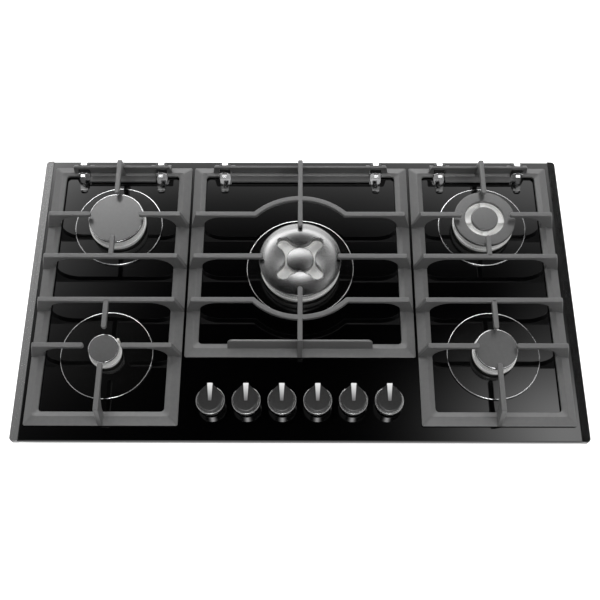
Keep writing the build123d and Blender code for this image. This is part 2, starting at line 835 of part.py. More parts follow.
def ignition_module():
    """The spark generator on the box floor, with a row of terminals."""
    x0 = box_half_x - module_inset - module_size
    y0 = module_y - module_size / 2
    y1 = module_y + module_size / 2
    body = block(x0, x0 + module_size, y0, y1, box_wall, box_wall + module_height)
    body = fillet(body.edges().filter_by(Axis.Z), module_corner_radius)
    first = x0 + (module_size - (terminal_count - 1) * terminal_pitch - terminal_width) / 2
    pins = []
    for place in range(terminal_count):
        left = first + place * terminal_pitch
        end = y1 + terminal_reach
        pins.append(block(left, left + terminal_width, y1, end, terminal_z, terminal_z + terminal_thickness))
    return body + pins


def feed_pipe(points):
    """One bent gas pipe along a line at the gas height."""
    spots = [(x, y, gas_z) for x, y in points]
    if len(spots) == 2:
        path = Line(*spots)
    else:
        path = FilletPolyline(*spots, radius=pipe_bend)
    ring = Plane(origin=path @ 0, z_dir=path % 0) * (Circle(pipe_radius) - Circle(pipe_bore))
    return sweep(ring, path=path)


def feed_pipes():
    """A pipe from every tap to its jet; none of them cross."""
    targets = ["front_left", "back_left", "centre", None, "back_right", "front_right"]
    pipes = []
    for x, target in zip(tap_xs, targets):
        if target is None:
            pipes.append(feed_pipe([(x, valve_front), (x, wok_outer_jet_y - holder_half)]))
            continue
        burner = burners[target]
        side = 1 if x < burner["x"] else -1
        end = burner["x"] - side * holder_half
        pipes.append(feed_pipe([(x, valve_front), (x, burner["y"]), (end, burner["y"])]))
    return pipes


# ---- pan supports ----

def bar(length, start_rail, end_rail):
    """A bar along X from a rail's outer edge; at its far end it has a rail or a free tip."""
    side = [(0, rail_bottom), (0, rail_edge_height), (bar_end_slope, support_height)]
    if end_rail:
        side += [(length - bar_end_slope, support_height), (length, rail_edge_height)]
    else:
        side += [(length, support_height)]
    side += [(length, rail_bottom)]
    outline = make_face(Polyline(*side, close=True))
    low = support_height - web_depth
    first = start_rail + haunch_x
    last = length - end_rail - haunch_x if end_rail else length + 1
    haunch = Ellipse(haunch_x, low - rail_inner_height)
    void = make_face(Polyline((first, 0), (last, 0), (last, low), (first, low), close=True))
    void += Pos(first, rail_inner_height) * haunch
    end = length - end_rail if end_rail else length + 1
    if end_rail:
        void += Pos(last, rail_inner_height) * haunch
    under = [(start_rail, -1), (end, -1), (end, rail_inner_height), (start_rail, rail_inner_height)]
    void += make_face(Polyline(*under, close=True))
    shape = extrude(Plane.XZ * (outline - void), bar_width / 2, both=True)
    if not end_rail:
        shape = shape + rod(length, 0, bar_width / 2, low, support_height)
    return shape


def web(length):
    """A short finger along X from one bar towards a burner, with a rounded tip."""
    low = support_height - web_depth
    half = bar_width / 2
    return block(0, length, -half, half, low, support_height) + rod(length, 0, half, low, support_height)


def placed(shape, x, y, angle):
    return Pos(x, y, glass_top) * Rot(0, 0, angle) * shape


def rail_frame(x0, x1, y0, y1):
    """The low frame of a pan support, ridged on top and narrower at the back."""
    cx = (x0 + x1) / 2
    cy = (y0 + y1) / 2
    width = x1 - x0
    depth = y1 - y0
    narrow = rail_width - back_rail_width

    def level(inset, radius, height, back=0.0):
        outline = RectangleRounded(width - 2 * inset, depth - 2 * inset + back, radius)
        return Pos(cx, cy + back / 2, glass_top + height) * outline

    low = glass_top + rail_bottom
    foot = slab(width, depth, rail_outer_radius, low, glass_top + rail_edge_height, x=cx, y=cy)
    outer_edge = level(0, rail_outer_radius, rail_edge_height)
    outer_ridge = level(rail_ridge_inset, rail_outer_radius, rail_ridge_height)
    hole = extrude(level(rail_width, rail_inner_radius, 0, narrow), rail_ridge_height + 1)
    inner_edge = level(rail_width, rail_inner_radius, rail_inner_height, narrow)
    inner_ridge = level(rail_ridge_inset + rail_ridge_flat, rail_inner_radius, rail_ridge_height)
    return foot + loft([outer_edge, outer_ridge]) - hole - loft([inner_edge, inner_ridge])


def lip(reach, slope, x, y, lean):
    """A low upright wall on a rail; it leans to the inside of the support."""
    rise = lip_height - rail_ridge_height + 3
    side = [(-reach, 0), (-reach + slope, rise), (reach - slope, rise), (reach, 0)]
    outline = make_face(Polyline(*side, close=True))
    outline = fillet(outline.vertices().group_by(Axis.Y)[-1], lip_corner_radius)
    wall = extrude(Plane.XZ * outline, -lip_thickness)
    return Pos(x, y, glass_top + rail_ridge_height - 3) * Rot(lean, 0, 0) * wall


def hinge_notch(x):
    """The gap in the back rail for a clip, and the pin and lugs that hold the support there."""
    half = clip_width / 2 + clip_side_gap
    front = support_back - back_rail_width - ledge_depth - 1
    gap = block(x - half, x + half, front, support_back + 1, glass_top, glass_top + notch_height)
    lugs = []
    for side in (-1, 1):
        x0 = x + side * half
        x1 = x + side * (half + lug_width)
        lugs.append(cross_rod(min(x0, x1), max(x0, x1), hinge_y, hinge_z, lug_radius))
        lugs.append(block(x0, x1, hinge_y - lug_reach, hinge_y, glass_top + lug_bottom, hinge_z + lug_radius))
    pin = cross_rod(x - half - 1, x + half + 1, hinge_y, hinge_z, hinge_pin_radius)
    return gap, lugs, pin


def hinge_ledge(x0, x1):
    """A low shelf in front of the back rail between two clips."""
    half = clip_width / 2 + clip_side_gap
    back = support_back - back_rail_width
    low = glass_top + rail_bottom
    shelf = block(x0 + half, x1 - half, back - ledge_depth, back, low, glass_top + rail_inner_height)
    edge = shelf.edges().filter_by(Axis.X).group_by(Axis.Z)[-1].sort_by(Axis.Y)[0]
    return chamfer(edge, ledge_bevel)


def foot_places(x0, x1, y0):
    inset = rail_width / 2
    back = support_back - back_rail_width - 2 * foot_radius - foot_margin
    return [(x, y) for x in (x0 + inset, x1 - inset) for y in (y0 + inset, back)]


def finish_support(shape, x0, x1, y0, clips, lips):
    """Adds lips, shelf, notches, pins and foot recesses to a frame with its bars."""
    shape = shape + lips + hinge_ledge(clips[0], clips[1])
    for x in clips:
        gap, lugs, pin = hinge_notch(x)
        shape = shape - gap + lugs + pin
    recess = glass_top + rail_bottom + foot_recess
    for place in foot_places(x0, x1, y0):
        shape = shape - rod(*place, foot_radius, glass_top, recess)
    return shape


def side_support():
    """The left pan support, over two burners one behind the other."""
    x0 = -side_support_outer
    x1 = -side_support_inner
    x = -corner_burner_x
    y0 = side_support_front
    shape = rail_frame(x0, x1, y0, support_back)
    for y in bar_ys[1:3]:
        shape = shape + placed(bar(x1 - x0, rail_width, rail_width), x0, y, 0)
    for y, tip in ((bar_ys[0], small_tip_radius), (bar_ys[3], large_tip_radius)):
        shape = shape + placed(bar(x - tip - x0 - bar_width / 2, rail_width, 0), x0, y, 0)
        shape = shape + placed(bar(x1 - x - tip - bar_width / 2, rail_width, 0), x1, y, 180)
    front_reach = small_tip_radius + bar_width / 2
    back_reach = large_tip_radius + bar_width / 2
    back_bar = bar(support_back - back_burner_y - back_reach, back_rail_width, 0)
    front_bar = bar(front_burner_y - front_reach - y0, rail_width, 0)
    shape = shape + placed(back_bar, x, support_back, -90) + placed(front_bar, x, y0, 90)
    shape = shape + placed(web(back_burner_y - back_reach - bar_ys[2]), x, bar_ys[2], 90)
    shape = shape + placed(web(bar_ys[1] - front_burner_y - front_reach), x, bar_ys[1], -90)
    back_lip = lip(side_support_half - side_lip_inset, lip_end_slope, x, support_back - lip_inset, lip_lean)
    clips = [-side_clip_xs[1], -side_clip_xs[0]]
    return finish_support(shape, x0, x1, y0, clips, [back_lip])


def centre_support():
    """The middle pan support, with two arcs around the large burner."""
    half = centre_support_half
    y0 = centre_support_front
    shape = rail_frame(-half, half, y0, support_back)
    end = bar_width / 2
    low = support_top - web_depth
    ring = rod(0, centre_burner_y, wok_arc_radius + end, low, support_top)
    ring = ring - rod(0, centre_burner_y, wok_arc_radius - end, low - 1, support_top + 1)
    back_y = bar_ys[3]
    front_y = bar_ys[1]
    arcs = [ring & block(-half, half, back_y - end, support_back, low, support_top)]
    arcs.append(ring & block(-half, half, y0, front_y + end, low, support_top))
    shape = shape + arcs
    for y in (front_y, back_y):
        meet = math.sqrt(wok_arc_radius**2 - (y - centre_burner_y) ** 2)
        for side, angle in ((-1, 0), (1, 180)):
            shape = shape + placed(bar(half - meet, rail_width, 0), side * half, y, angle)
    for side, angle in ((-1, 0), (1, 180)):
        shape = shape + placed(bar(half - wok_tip_x - end, rail_width, 0), side * half, bar_ys[2], angle)
    back_bar = bar(support_back - centre_burner_y - wok_tip_y - end, back_rail_width, 0)
    front_bar = bar(centre_burner_y - wok_tip_y - y0 - end, rail_width, 0)
    shape = shape + placed(back_bar, 0, support_back, -90) + placed(front_bar, 0, y0, 90)
    lips = [lip(half - centre_lip_inset, lip_end_slope, 0, support_back - lip_inset, lip_lean)]
    lips.append(lip(half - front_lip_inset, front_lip_end_slope, 0, y0 + lip_inset, -lip_lean))
    return finish_support(shape, -half, half, y0, [-centre_clip_reach, centre_clip_reach], lips)


def support_feet(x0, x1, y0):
    """Rubber feet that sit in recesses under the side rails, just off the glass."""
    feet = []
    for place in foot_places(x0, x1, y0):
        feet.append(rod(*place, foot_radius, glass_top + foot_gap, glass_top + rail_bottom + foot_recess))
    return feet


def clip_outline(x, tip_width, y0, y1):
    """A tongue that narrows towards its front end."""
    wide = clip_width / 2
    thin = tip_width / 2
    points = [(x - thin, y0), (x + thin, y0), (x + wide, y1), (x - wide, y1)]
    return Pos(0, 0, glass_top) * extrude(make_face(Polyline(*points, close=True)), clip_sheet)


def grate_clip(x):
    """A bent strip around the back rail, with a tongue on the glass and a riveted stud."""
    rear = support_back + clip_rear_gap
    front = support_back - back_rail_width - clip_front_gap - clip_sheet
    wide = clip_width / 2
    thin = clip_back_width / 2
    base = block(x - wide, x + wide, front, rear + clip_sheet, glass_top, glass_top + clip_sheet)
    prong = block(x - wide, x + wide, front, front + clip_sheet, glass_top, glass_top + clip_front_height)
    prong = chamfer(prong.edges().filter_by(Axis.Y).group_by(Axis.Z)[-1], clip_corner)
    rear_prong = block(x - thin, x + thin, rear, rear + clip_sheet, glass_top, glass_top + clip_back_height)
    tip = support_back - clip_tongue_reach
    tongue = clip_outline(x, clip_tongue_width, tip, front)
    half_tip = clip_tongue_width / 2
    curl = cross_rod(x - half_tip, x + half_tip, tip, glass_top + clip_sheet, clip_sheet)
    stud = rod(x, stud_y, stud_radius, glass_bottom, glass_top + 1)
    head = rod(x, stud_y, stud_head_radius, glass_bottom - clip_sheet, glass_bottom)
    return base + prong + rear_prong + tongue + curl + stud + head


def hinge_block(x):
    """A moulded block in each clip, with a bore that the support's pin turns in."""
    half = hinge_block_width / 2
    low = glass_top + clip_sheet
    barrel = cross_rod(x - half, x + half, hinge_y, hinge_z, hinge_block_radius)
    pedestal = block(x - half, x + half, hinge_y - lug_reach, support_back + clip_rear_gap, low, hinge_z)
    bore = cross_rod(x - half - 1, x + half + 1, hinge_y, hinge_z, hinge_pin_radius + running_clearance)
    return barrel + pedestal - bore


# ---- all sub-parts ----

save("glass_top", glass_plate())
save("side_trims", side_trims())
save("worktop_seal", worktop_seal())
save("burner_box", burner_box())
save("worktop_clamps", worktop_clamps())
save("clamp_screws", clamp_screws())
save("gas_rail", gas_rail())
save("gas_inlet", gas_inlet())
save("valve_bodies", [valve_body(x) for x in tap_xs])
save("feed_pipes", feed_pipes())
save("injector_holders", injector_holders())
save("ignition_module", ignition_module())
save("spark_electrodes", spark_electrodes())
save("thermocouples", thermocouples())
save("burner_screws", burner_screws())
save("knob_seals", [knob_seal(x) for x in tap_xs])
save("grate_clips", [grate_clip(x) for x in clip_xs])
save("hinge_blocks", [hinge_block(x) for x in clip_xs])
save("burner_cups", [burner_cup(burner) for burner in burners.values()])

for name, burner in burners.items():
    save(f"burner_plate_{name}", burner_plate(burner))

for name in single_ring_burners:
    save(f"burner_crown_{name}", single_crown(burners[name]))
    chamber = burners[name]["crown"] - crown_wall
    save(f"burner_cap_{name}", cap_disc(burners[name], burners[name]["cap"], chamber))
save("burner_crown_back_right", dual_crown(burners["back_right"]))
save("burner_crown_centre", wok_crown(burners["centre"]))
save("burner_cap_back_right_outer", dual_outer_cap(burners["back_right"]))
inner_chamber = inner_crown_radius - crown_wall
save("burner_cap_back_right_inner", cap_disc(burners["back_right"], inner_cap_radius, inner_chamber))
save("burner_cap_centre_outer", wok_outer_cap(burners["centre"]))
save("burner_cap_centre_inner", wok_inner_cap(burners["centre"]))

left_support = side_support()
left_feet = support_feet(-side_support_outer, -side_support_inner, side_support_front)
save("left_grate", left_support)
save("right_grate", mirror(left_support, Plane.YZ))
save("left_grate_feet", left_feet)
save("right_grate_feet", [mirror(foot, Plane.YZ) for foot in left_feet])
save("centre_grate", centre_support())
save("centre_grate_feet", support_feet(-centre_support_half, centre_support_half, centre_support_front))

for place, x in enumerate(tap_xs, start=1):
    save(f"knob_{place}", knob(x))
    save(f"valve_spindle_{place}", valve_spindle(x))
    save(f"valve_plug_{place}", valve_plug(x))
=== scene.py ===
import math

import bmesh
import bpy
from mathutils import Matrix, Vector


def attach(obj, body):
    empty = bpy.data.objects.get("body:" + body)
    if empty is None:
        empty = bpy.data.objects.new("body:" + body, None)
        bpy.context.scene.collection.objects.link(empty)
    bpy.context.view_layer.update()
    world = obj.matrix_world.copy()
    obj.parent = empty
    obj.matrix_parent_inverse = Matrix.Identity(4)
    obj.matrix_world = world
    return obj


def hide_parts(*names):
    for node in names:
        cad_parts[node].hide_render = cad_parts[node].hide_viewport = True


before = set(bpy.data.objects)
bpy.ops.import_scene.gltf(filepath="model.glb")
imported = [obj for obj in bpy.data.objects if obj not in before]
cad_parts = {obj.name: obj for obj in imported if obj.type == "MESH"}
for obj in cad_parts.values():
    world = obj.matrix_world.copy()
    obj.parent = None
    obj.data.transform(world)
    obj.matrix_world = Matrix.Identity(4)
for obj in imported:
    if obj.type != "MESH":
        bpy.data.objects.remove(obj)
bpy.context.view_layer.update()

# shapes are made in millimetres, and a finished piece is brought to metres
mm = 0.001
glassTop = 58.0
cornerX = 310.5
frontY = -113.0
backY = 123.3
barYs = [frontY + (backY - frontY) * step / 3 for step in range(4)]
wokY = barYs[2]
tapXs = [(place - 2.5) * 55.6 for place in range(6)]
tapY = -195.0
burners = {
    "front_left": {"x": -cornerX, "y": frontY, "plate": 74.5, "crown": 24.5, "cap": 24.0},
    "front_right": {"x": cornerX, "y": frontY, "plate": 74.5, "crown": 34.0, "cap": 33.5},
    "back_left": {"x": -cornerX, "y": backY, "plate": 74.5, "crown": 46.5, "cap": 46.0},
    "back_right": {"x": cornerX, "y": backY, "plate": 74.5, "crown": 50.0, "cap": 51.5},
    "centre": {"x": 0.0, "y": wokY, "plate": 89.5, "crown": 65.0, "cap": 68.0},
}


# shaping helpers

def addPart(target, part, place=None):
    # moves a small shape into its place and joins it to a larger one
    if place is not None:
        bmesh.ops.transform(part, matrix=place, verts=part.verts)
    bmesh.ops.recalc_face_normals(part, faces=part.faces)
    holder = bpy.data.meshes.new("holder")
    part.to_mesh(holder)
    part.free()
    target.from_mesh(holder)
    bpy.data.meshes.remove(holder)


def softenEdges(shape, offset, minAngle=40, segments=2, edges=None):
    chosen = [e for e in (edges or shape.edges) if len(e.link_faces) == 2 and e.calc_face_angle() > math.radians(minAngle)]
    if chosen:
        bmesh.ops.bevel(
            shape, geom=chosen, offset=offset, offset_type="OFFSET", segments=segments,
            profile=0.5, affect="EDGES", material=-1, clamp_overlap=True,
        )


def roundCorners(shape, corners, offset, segments):
    bmesh.ops.bevel(
        shape, geom=corners, offset=offset, offset_type="OFFSET", segments=segments,
        profile=0.5, affect="VERTICES", material=-1, clamp_overlap=False,
    )


def boxShape(x0, x1, y0, y1, z0, z1, soft=0.0, segments=2):
    part = bmesh.new()
    bmesh.ops.create_cube(part, size=1.0)
    bmesh.ops.scale(part, vec=(x1 - x0, y1 - y0, z1 - z0), verts=part.verts)
    bmesh.ops.translate(part, vec=((x0 + x1) / 2, (y0 + y1) / 2, (z0 + z1) / 2), verts=part.verts)
    if soft:
        softenEdges(part, soft, segments=segments)
    return part


def rodShape(radius, length, soft=0.0, segments=32):
    # a rod along Z that stands on the origin
    part = bmesh.new()
    bmesh.ops.create_cone(part, cap_ends=True, segments=segments, radius1=radius, radius2=radius, depth=length)
    bmesh.ops.translate(part, vec=(0, 0, length / 2), verts=part.verts)
    if soft:
        softenEdges(part, soft)
    return part


def spunShape(outline, steps=96, rounding=None):
    # turns an outline of (radius, height) points about Z; rounding gives a corner's number its radius
    part = bmesh.new()
    corners = [part.verts.new((r, 0, z)) for r, z in outline]
    part.faces.new(corners)
    for number, radius in (rounding or {}).items():
        roundCorners(part, [corners[number]], radius, 4)
    bmesh.ops.delete(part, geom=part.faces[:], context="FACES_ONLY")
    onAxis = [e for e in part.edges if all(v.co.x < 0.0001 for v in e.verts)]
    bmesh.ops.delete(part, geom=onAxis, context="EDGES")
    bmesh.ops.spin(
        part, geom=part.verts[:] + part.edges[:], cent=(0, 0, 0), axis=(0, 0, 1),
        angle=math.tau, steps=steps, use_merge=True,
    )
    bmesh.ops.remove_doubles(part, verts=part.verts, dist=0.001)
    bmesh.ops.recalc_face_normals(part, faces=part.faces)
    return part


def movedShape(part, x, y, z=glassTop):
    bmesh.ops.translate(part, vec=(x, y, z), verts=part.verts)
    return part


def at(x, y, z=0.0):
    return Matrix.Translation((x, y, z))


def finishPiece(shape, name, body, material, replaced=(), sharpAngle=38):
    # brings a shape to metres and hands it over as one piece of the object
    bmesh.ops.scale(shape, vec=(mm, mm, mm), verts=shape.verts)
    mesh = bpy.data.meshes.new(name)
    shape.to_mesh(mesh)
    shape.free()
    for polygon in mesh.polygons:
        polygon.use_smooth = True
    mesh.set_sharp_from_angle(angle=math.radians(sharpAngle))
    piece = bpy.data.objects.new(name, mesh)
    bpy.context.scene.collection.objects.link(piece)
    mesh.materials.append(material)
    weighted = piece.modifiers.new("flatFaces", "WEIGHTED_NORMAL")
    weighted.keep_sharp = True
    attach(piece, body)
    if replaced:
        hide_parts(*replaced)
    return piece


# material helpers

def newMaterial(name, color, metallic=0.0, roughness=0.5, **sockets):
    material = bpy.data.materials.new(name)
    material.use_nodes = True
    shader = material.node_tree.nodes["Principled BSDF"]
    shader.inputs["Base Color"].default_value = (*color, 1.0)
    shader.inputs["Metallic"].default_value = metallic
    shader.inputs["Roughness"].default_value = roughness
    for key, value in sockets.items():
        shader.inputs[key.replace("_", " ")].default_value = value
    return material


def addNode(material, kind, **values):
    node = material.node_tree.nodes.new(kind)
    for key, value in values.items():
        if key in node.inputs:
            node.inputs[key].default_value = value
        else:
            setattr(node, key, value)
    return node


def link(material, source, target):
    material.node_tree.links.new(source, target)


def noiseOf(material, scale, detail=3.0, stretch=(1, 1, 1), roughness=0.5):
    # noise in the piece's own coordinates, in metres
    coords = addNode(material, "ShaderNodeTexCoord")
    mapping = addNode(material, "ShaderNodeMapping")
    mapping.inputs["Scale"].default_value = stretch
    noise = addNode(material, "ShaderNodeTexNoise", Scale=scale, Detail=detail, Roughness=roughness)
    link(material, coords.outputs["Object"], mapping.inputs["Vector"])
    link(material, mapping.outputs["Vector"], noise.inputs["Vector"])
    return noise.outputs["Fac"]


def varyColor(material, factor, low, high, fromMin=0.3, fromMax=0.7):
    ramp = addNode(material, "ShaderNodeValToRGB")
    ramp.color_ramp.elements[0].position = fromMin
    ramp.color_ramp.elements[0].color = (*low, 1)
    ramp.color_ramp.elements[1].position = fromMax
    ramp.color_ramp.elements[1].color = (*high, 1)
    link(material, factor, ramp.inputs["Fac"])
    link(material, ramp.outputs["Color"], material.node_tree.nodes["Principled BSDF"].inputs["Base Color"])
    return ramp


def varyRoughness(material, factor, low, high):
    spread = addNode(material, "ShaderNodeMapRange")
    spread.inputs["From Min"].default_value = 0.3
    spread.inputs["From Max"].default_value = 0.7
    spread.inputs["To Min"].default_value = low
    spread.inputs["To Max"].default_value = high
    link(material, factor, spread.inputs["Value"])
    link(material, spread.outputs["Result"], material.node_tree.nodes["Principled BSDF"].inputs["Roughness"])


def addBump(material, factor, strength, distance):
    bump = addNode(material, "ShaderNodeBump", Strength=strength, Distance=distance)
    link(material, factor, bump.inputs["Height"])
    link(material, bump.outputs["Normal"], material.node_tree.nodes["Principled BSDF"].inputs["Normal"])


print("materials")
blackGlass = newMaterial("blackGlass", (0.0006, 0.0006, 0.0007), roughness=0.03)
varyRoughness(blackGlass, noiseOf(blackGlass, 9.0), 0.02, 0.045)

plateEnamel = newMaterial("plateEnamel", (0.0015, 0.0015, 0.0015), roughness=0.06, Specular_IOR_Level=0.6)
varyRoughness(plateEnamel, noiseOf(plateEnamel, 60.0), 0.04, 0.09)

castIron = newMaterial("castIron", (0.11, 0.11, 0.11), roughness=0.4)
varyColor(castIron, noiseOf(castIron, 140.0, 5.0), (0.103, 0.103, 0.104), (0.116, 0.116, 0.115))
varyRoughness(castIron, noiseOf(castIron, 500.0), 0.33, 0.42)
addBump(castIron, noiseOf(castIron, 1400.0, 4.0), 0.06, 0.0002)

brushedTrim = newMaterial("brushedTrim", (0.45, 0.45, 0.45), metallic=1.0, roughness=0.14)
varyColor(brushedTrim, noiseOf(brushedTrim, 600.0, 4.0, (1, 0.02, 1)), (0.42, 0.42, 0.42), (0.47, 0.47, 0.47))
addBump(brushedTrim, noiseOf(brushedTrim, 900.0, 3.0, (1, 0.02, 1)), 0.012, 0.0001)

capEnamel = newMaterial("capEnamel", (0.12, 0.12, 0.12), metallic=0.6, roughness=0.26)
varyColor(capEnamel, noiseOf(capEnamel, 180.0, 4.0), (0.114, 0.114, 0.114), (0.128, 0.128, 0.128))
addBump(capEnamel, noiseOf(capEnamel, 900.0, 3.0), 0.03, 0.0002)

wokCapMetal = newMaterial("wokCapMetal", (0.2, 0.2, 0.2), metallic=1.0, roughness=0.24)
varyRoughness(wokCapMetal, noiseOf(wokCapMetal, 220.0, 5.0), 0.22, 0.26)

castAluminium = newMaterial("castAluminium", (0.84, 0.84, 0.83), metallic=0.25, roughness=0.4)
varyColor(castAluminium, noiseOf(castAluminium, 200.0, 4.0), (0.78, 0.78, 0.77), (0.9, 0.9, 0.89))
addBump(castAluminium, noiseOf(castAluminium, 1200.0, 3.0), 0.15, 0.0002)

crownMetal = newMaterial("crownMetal", (0.95, 0.95, 0.94), metallic=0.0, roughness=0.25, Specular_IOR_Level=0.9)
varyColor(crownMetal, noiseOf(crownMetal, 200.0, 4.0), (0.93, 0.93, 0.92), (0.97, 0.97, 0.96))

zincSheet = newMaterial("zincSheet", (0.34, 0.345, 0.35), metallic=0.9, roughness=0.42)
varyColor(zincSheet, noiseOf(zincSheet, 110.0, 4.0), (0.31, 0.315, 0.32), (0.37, 0.375, 0.38))
varyRoughness(zincSheet, noiseOf(zincSheet, 160.0, 4.0), 0.38, 0.46)

chrome = newMaterial("chrome", (0.82, 0.82, 0.83), metallic=1.0, roughness=0.08)
varyRoughness(chrome, noiseOf(chrome, 300.0), 0.05, 0.14)

brass = newMaterial("brass", (0.62, 0.46, 0.2), metallic=1.0, roughness=0.32)
varyColor(brass, noiseOf(brass, 260.0, 4.0), (0.52, 0.38, 0.16), (0.7, 0.53, 0.25))

copper = newMaterial("copper", (0.4, 0.3, 0.25), metallic=1.0, roughness=0.3)
varyColor(copper, noiseOf(copper, 260.0, 4.0), (0.36, 0.26, 0.21), (0.44, 0.34, 0.29))

rubber = newMaterial("rubber", (0.012, 0.012, 0.012), roughness=0.75)
varyColor(rubber, noiseOf(rubber, 400.0), (0.009, 0.009, 0.009), (0.018, 0.018, 0.018))

darkNylon = newMaterial("darkNylon", (0.02, 0.02, 0.02), roughness=0.5)
varyColor(darkNylon, noiseOf(darkNylon, 500.0), (0.015, 0.015, 0.015), (0.026, 0.026, 0.026))

ceramic = newMaterial("ceramic", (0.78, 0.76, 0.72), roughness=0.25)
varyColor(ceramic, noiseOf(ceramic, 300.0), (0.72, 0.7, 0.66), (0.82, 0.81, 0.78))

whitePlastic = newMaterial("whitePlastic", (0.7, 0.7, 0.68), roughness=0.5)
varyColor(whitePlastic, noiseOf(whitePlastic, 350.0), (0.66, 0.66, 0.64), (0.74, 0.74, 0.72))

knobDark = newMaterial("knobDark", (0.017, 0.017, 0.017), roughness=0.2)
varyColor(knobDark, noiseOf(knobDark, 500.0, 3.0), (0.014, 0.014, 0.014), (0.02, 0.02, 0.02))
addBump(knobDark, noiseOf(knobDark, 2500.0, 2.0), 0.08, 0.0001)

knobMetal = newMaterial("knobMetal", (0.5, 0.5, 0.5), metallic=0.85, roughness=0.14)
varyRoughness(knobMetal, noiseOf(knobMetal, 900.0, 3.0, (1, 1, 0.05)), 0.1, 0.18)

clipSteel = newMaterial("clipSteel", (0.08, 0.08, 0.08), metallic=1.0, roughness=0.12)
varyRoughness(clipSteel, noiseOf(clipSteel, 400.0), 0.1, 0.16)

# the pale mark's colour holds painted shade: by its Y place it runs from dark grey at its front end to white at its
# back end
markWhitePaintedShade = newMaterial("markWhitePaintedShade", (0.8, 0.8, 0.8), roughness=0.4)
markCoords = addNode(markWhitePaintedShade, "ShaderNodeTexCoord")
markSplit = addNode(markWhitePaintedShade, "ShaderNodeSeparateXYZ")
link(markWhitePaintedShade, markCoords.outputs["Object"], markSplit.inputs["Vector"])
markPaintedShadeShare = addNode(markWhitePaintedShade, "ShaderNodeMapRange")
markPaintedShadeShare.inputs["From Min"].default_value = (tapY - 2.0) * mm
markPaintedShadeShare.inputs["From Max"].default_value = (tapY + 22.0) * mm
link(markWhitePaintedShade, markSplit.outputs["Y"], markPaintedShadeShare.inputs["Value"])
varyColor(markWhitePaintedShade, markPaintedShadeShare.outputs["Result"], (0.12, 0.12, 0.12), (0.86, 0.86, 0.86), 0.0, 1.0)

cadFinish = {
    "glass_top": blackGlass,
    "side_trims": brushedTrim,
    "worktop_seal": rubber,
    "burner_box": zincSheet,
    "worktop_clamps": zincSheet,
    "clamp_screws": zincSheet,
    "gas_rail": zincSheet,
    "gas_inlet": brass,
    "valve_bodies": castAluminium,
    "feed_pipes": castAluminium,
    "injector_holders": brass,
    "ignition_module": whitePlastic,
    "spark_electrodes": ceramic,
    "thermocouples": copper,
    "burner_screws": zincSheet,
    "knob_seals": rubber,
    "grate_clips": chrome,
    "hinge_blocks": darkNylon,
    "burner_cups": castAluminium,
}
for nodeName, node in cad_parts.items():
    finish = cadFinish.get(nodeName)
    if finish is None:
        if nodeName.startswith("burner_plate"):
            finish = plateEnamel
        elif nodeName.startswith("burner_crown"):
            finish = crownMetal
        elif nodeName.startswith("burner_cap_centre"):
            finish = wokCapMetal
        elif nodeName.startswith("burner_cap"):
            finish = capEnamel
        elif nodeName.endswith("_feet"):
            finish = rubber
        elif nodeName.endswith("_grate"):
            finish = castIron
        elif nodeName.startswith("knob_"):
            finish = knobDark
        else:
            finish = brass
    node.data.materials.clear()
    node.data.materials.append(finish)


print("pan supports")
support = {
    "back": 240.0, "sideFront": -231.0, "centreFront": -117.0, "sideOuter": 431.0, "sideInner": 190.0,
    "centreHalf": 186.0, "top": 47.0, "railWidth": 22.0, "backRailWidth": 18.5, "railBottom": 2.0,
    "railEdge": 3.5, "ridge": 9.0, "railInner": 6.5, "ridgeInset": 13.0, "ridgeFlat": 1.0,
    "outerRadius": 3.0, "innerRadius": 6.0, "bar": 8.0, "web": 7.5, "endSlope": 11.0, "haunch": 31.5,
    "smallTip": 29.0, "largeTip": 40.0, "wokTipX": 61.5, "wokTipY": 55.6, "arc": 109.0,
    "edge": 1.3, "railEdgeSoft": 0.7,
}
lipSize = {"inset": 12.4, "rise": 25.6, "start": 6.0, "thick": 3.6, "lean": 9.5, "notch": 16.2, "corner": 3.0}
hinge = {"y": 234.0, "height": 15.0, "pin": 3.0, "lug": 4.0, "gapHalf": 10.5, "lugWidth": 7.0}
clipReach = {"side": 67.5, "centre": 131.7}


def barShape(length, startRail, endRail):
    # the upright outline of a bar, with a curved haunch above each rail, made as thick as the bar
    s = support
    low = s["top"] - s["web"]
    outline = [(0, s["railBottom"]), (0, s["railEdge"]), (s["endSlope"], s["top"])]
    if endRail:
        outline += [(length - s["endSlope"], s["top"]), (length, s["railEdge"]), (length, s["railBottom"])]
        outline += [(length - endRail, s["railBottom"]), (length - endRail, low)]
    else:
        outline += [(length, s["top"]), (length, low)]
    outline += [(startRail, low), (startRail, s["railBottom"])]
    part = bmesh.new()
    corners = [part.verts.new((x, -s["bar"] / 2, z)) for x, z in outline]
    part.faces.new(corners)
    haunches = [corners[-2]] + ([corners[-3]] if endRail else [])
    roundCorners(part, haunches, s["haunch"], 10)
    return thicken(part, s["bar"], 0 if endRail else length)


def fingerShape(length):
    # a short finger between a bar and a burner
    low = support["top"] - support["web"]
    part = bmesh.new()
    outline = [(0, low), (0, support["top"]), (length, support["top"]), (length, low)]
    part.faces.new([part.verts.new((x, -support["bar"] / 2, z)) for x, z in outline])
    return thicken(part, support["bar"], length)


def thicken(part, width, tipAt=0.0, soft=None):
    # extrudes an upright outline along Y, rounds a free tip in plan and softens all edges
    swept = bmesh.ops.extrude_face_region(part, geom=part.faces[:])
    moved = [g for g in swept["geom"] if isinstance(g, bmesh.types.BMVert)]
    bmesh.ops.translate(part, vec=(0, width, 0), verts=moved)
    bmesh.ops.recalc_face_normals(part, faces=part.faces)
    if tipAt:
        tipEdges = [
            e for e in part.edges
            if all(abs(v.co.x - tipAt) < 0.01 for v in e.verts) and abs(e.verts[0].co.z - e.verts[1].co.z) > 1
        ]
        bmesh.ops.bevel(
            part, geom=tipEdges, offset=width * 0.47, offset_type="OFFSET", segments=6,
            profile=0.5, affect="EDGES", material=-1, clamp_overlap=True,
        )
    softenEdges(part, soft or support["edge"], minAngle=45, segments=3)
    return part


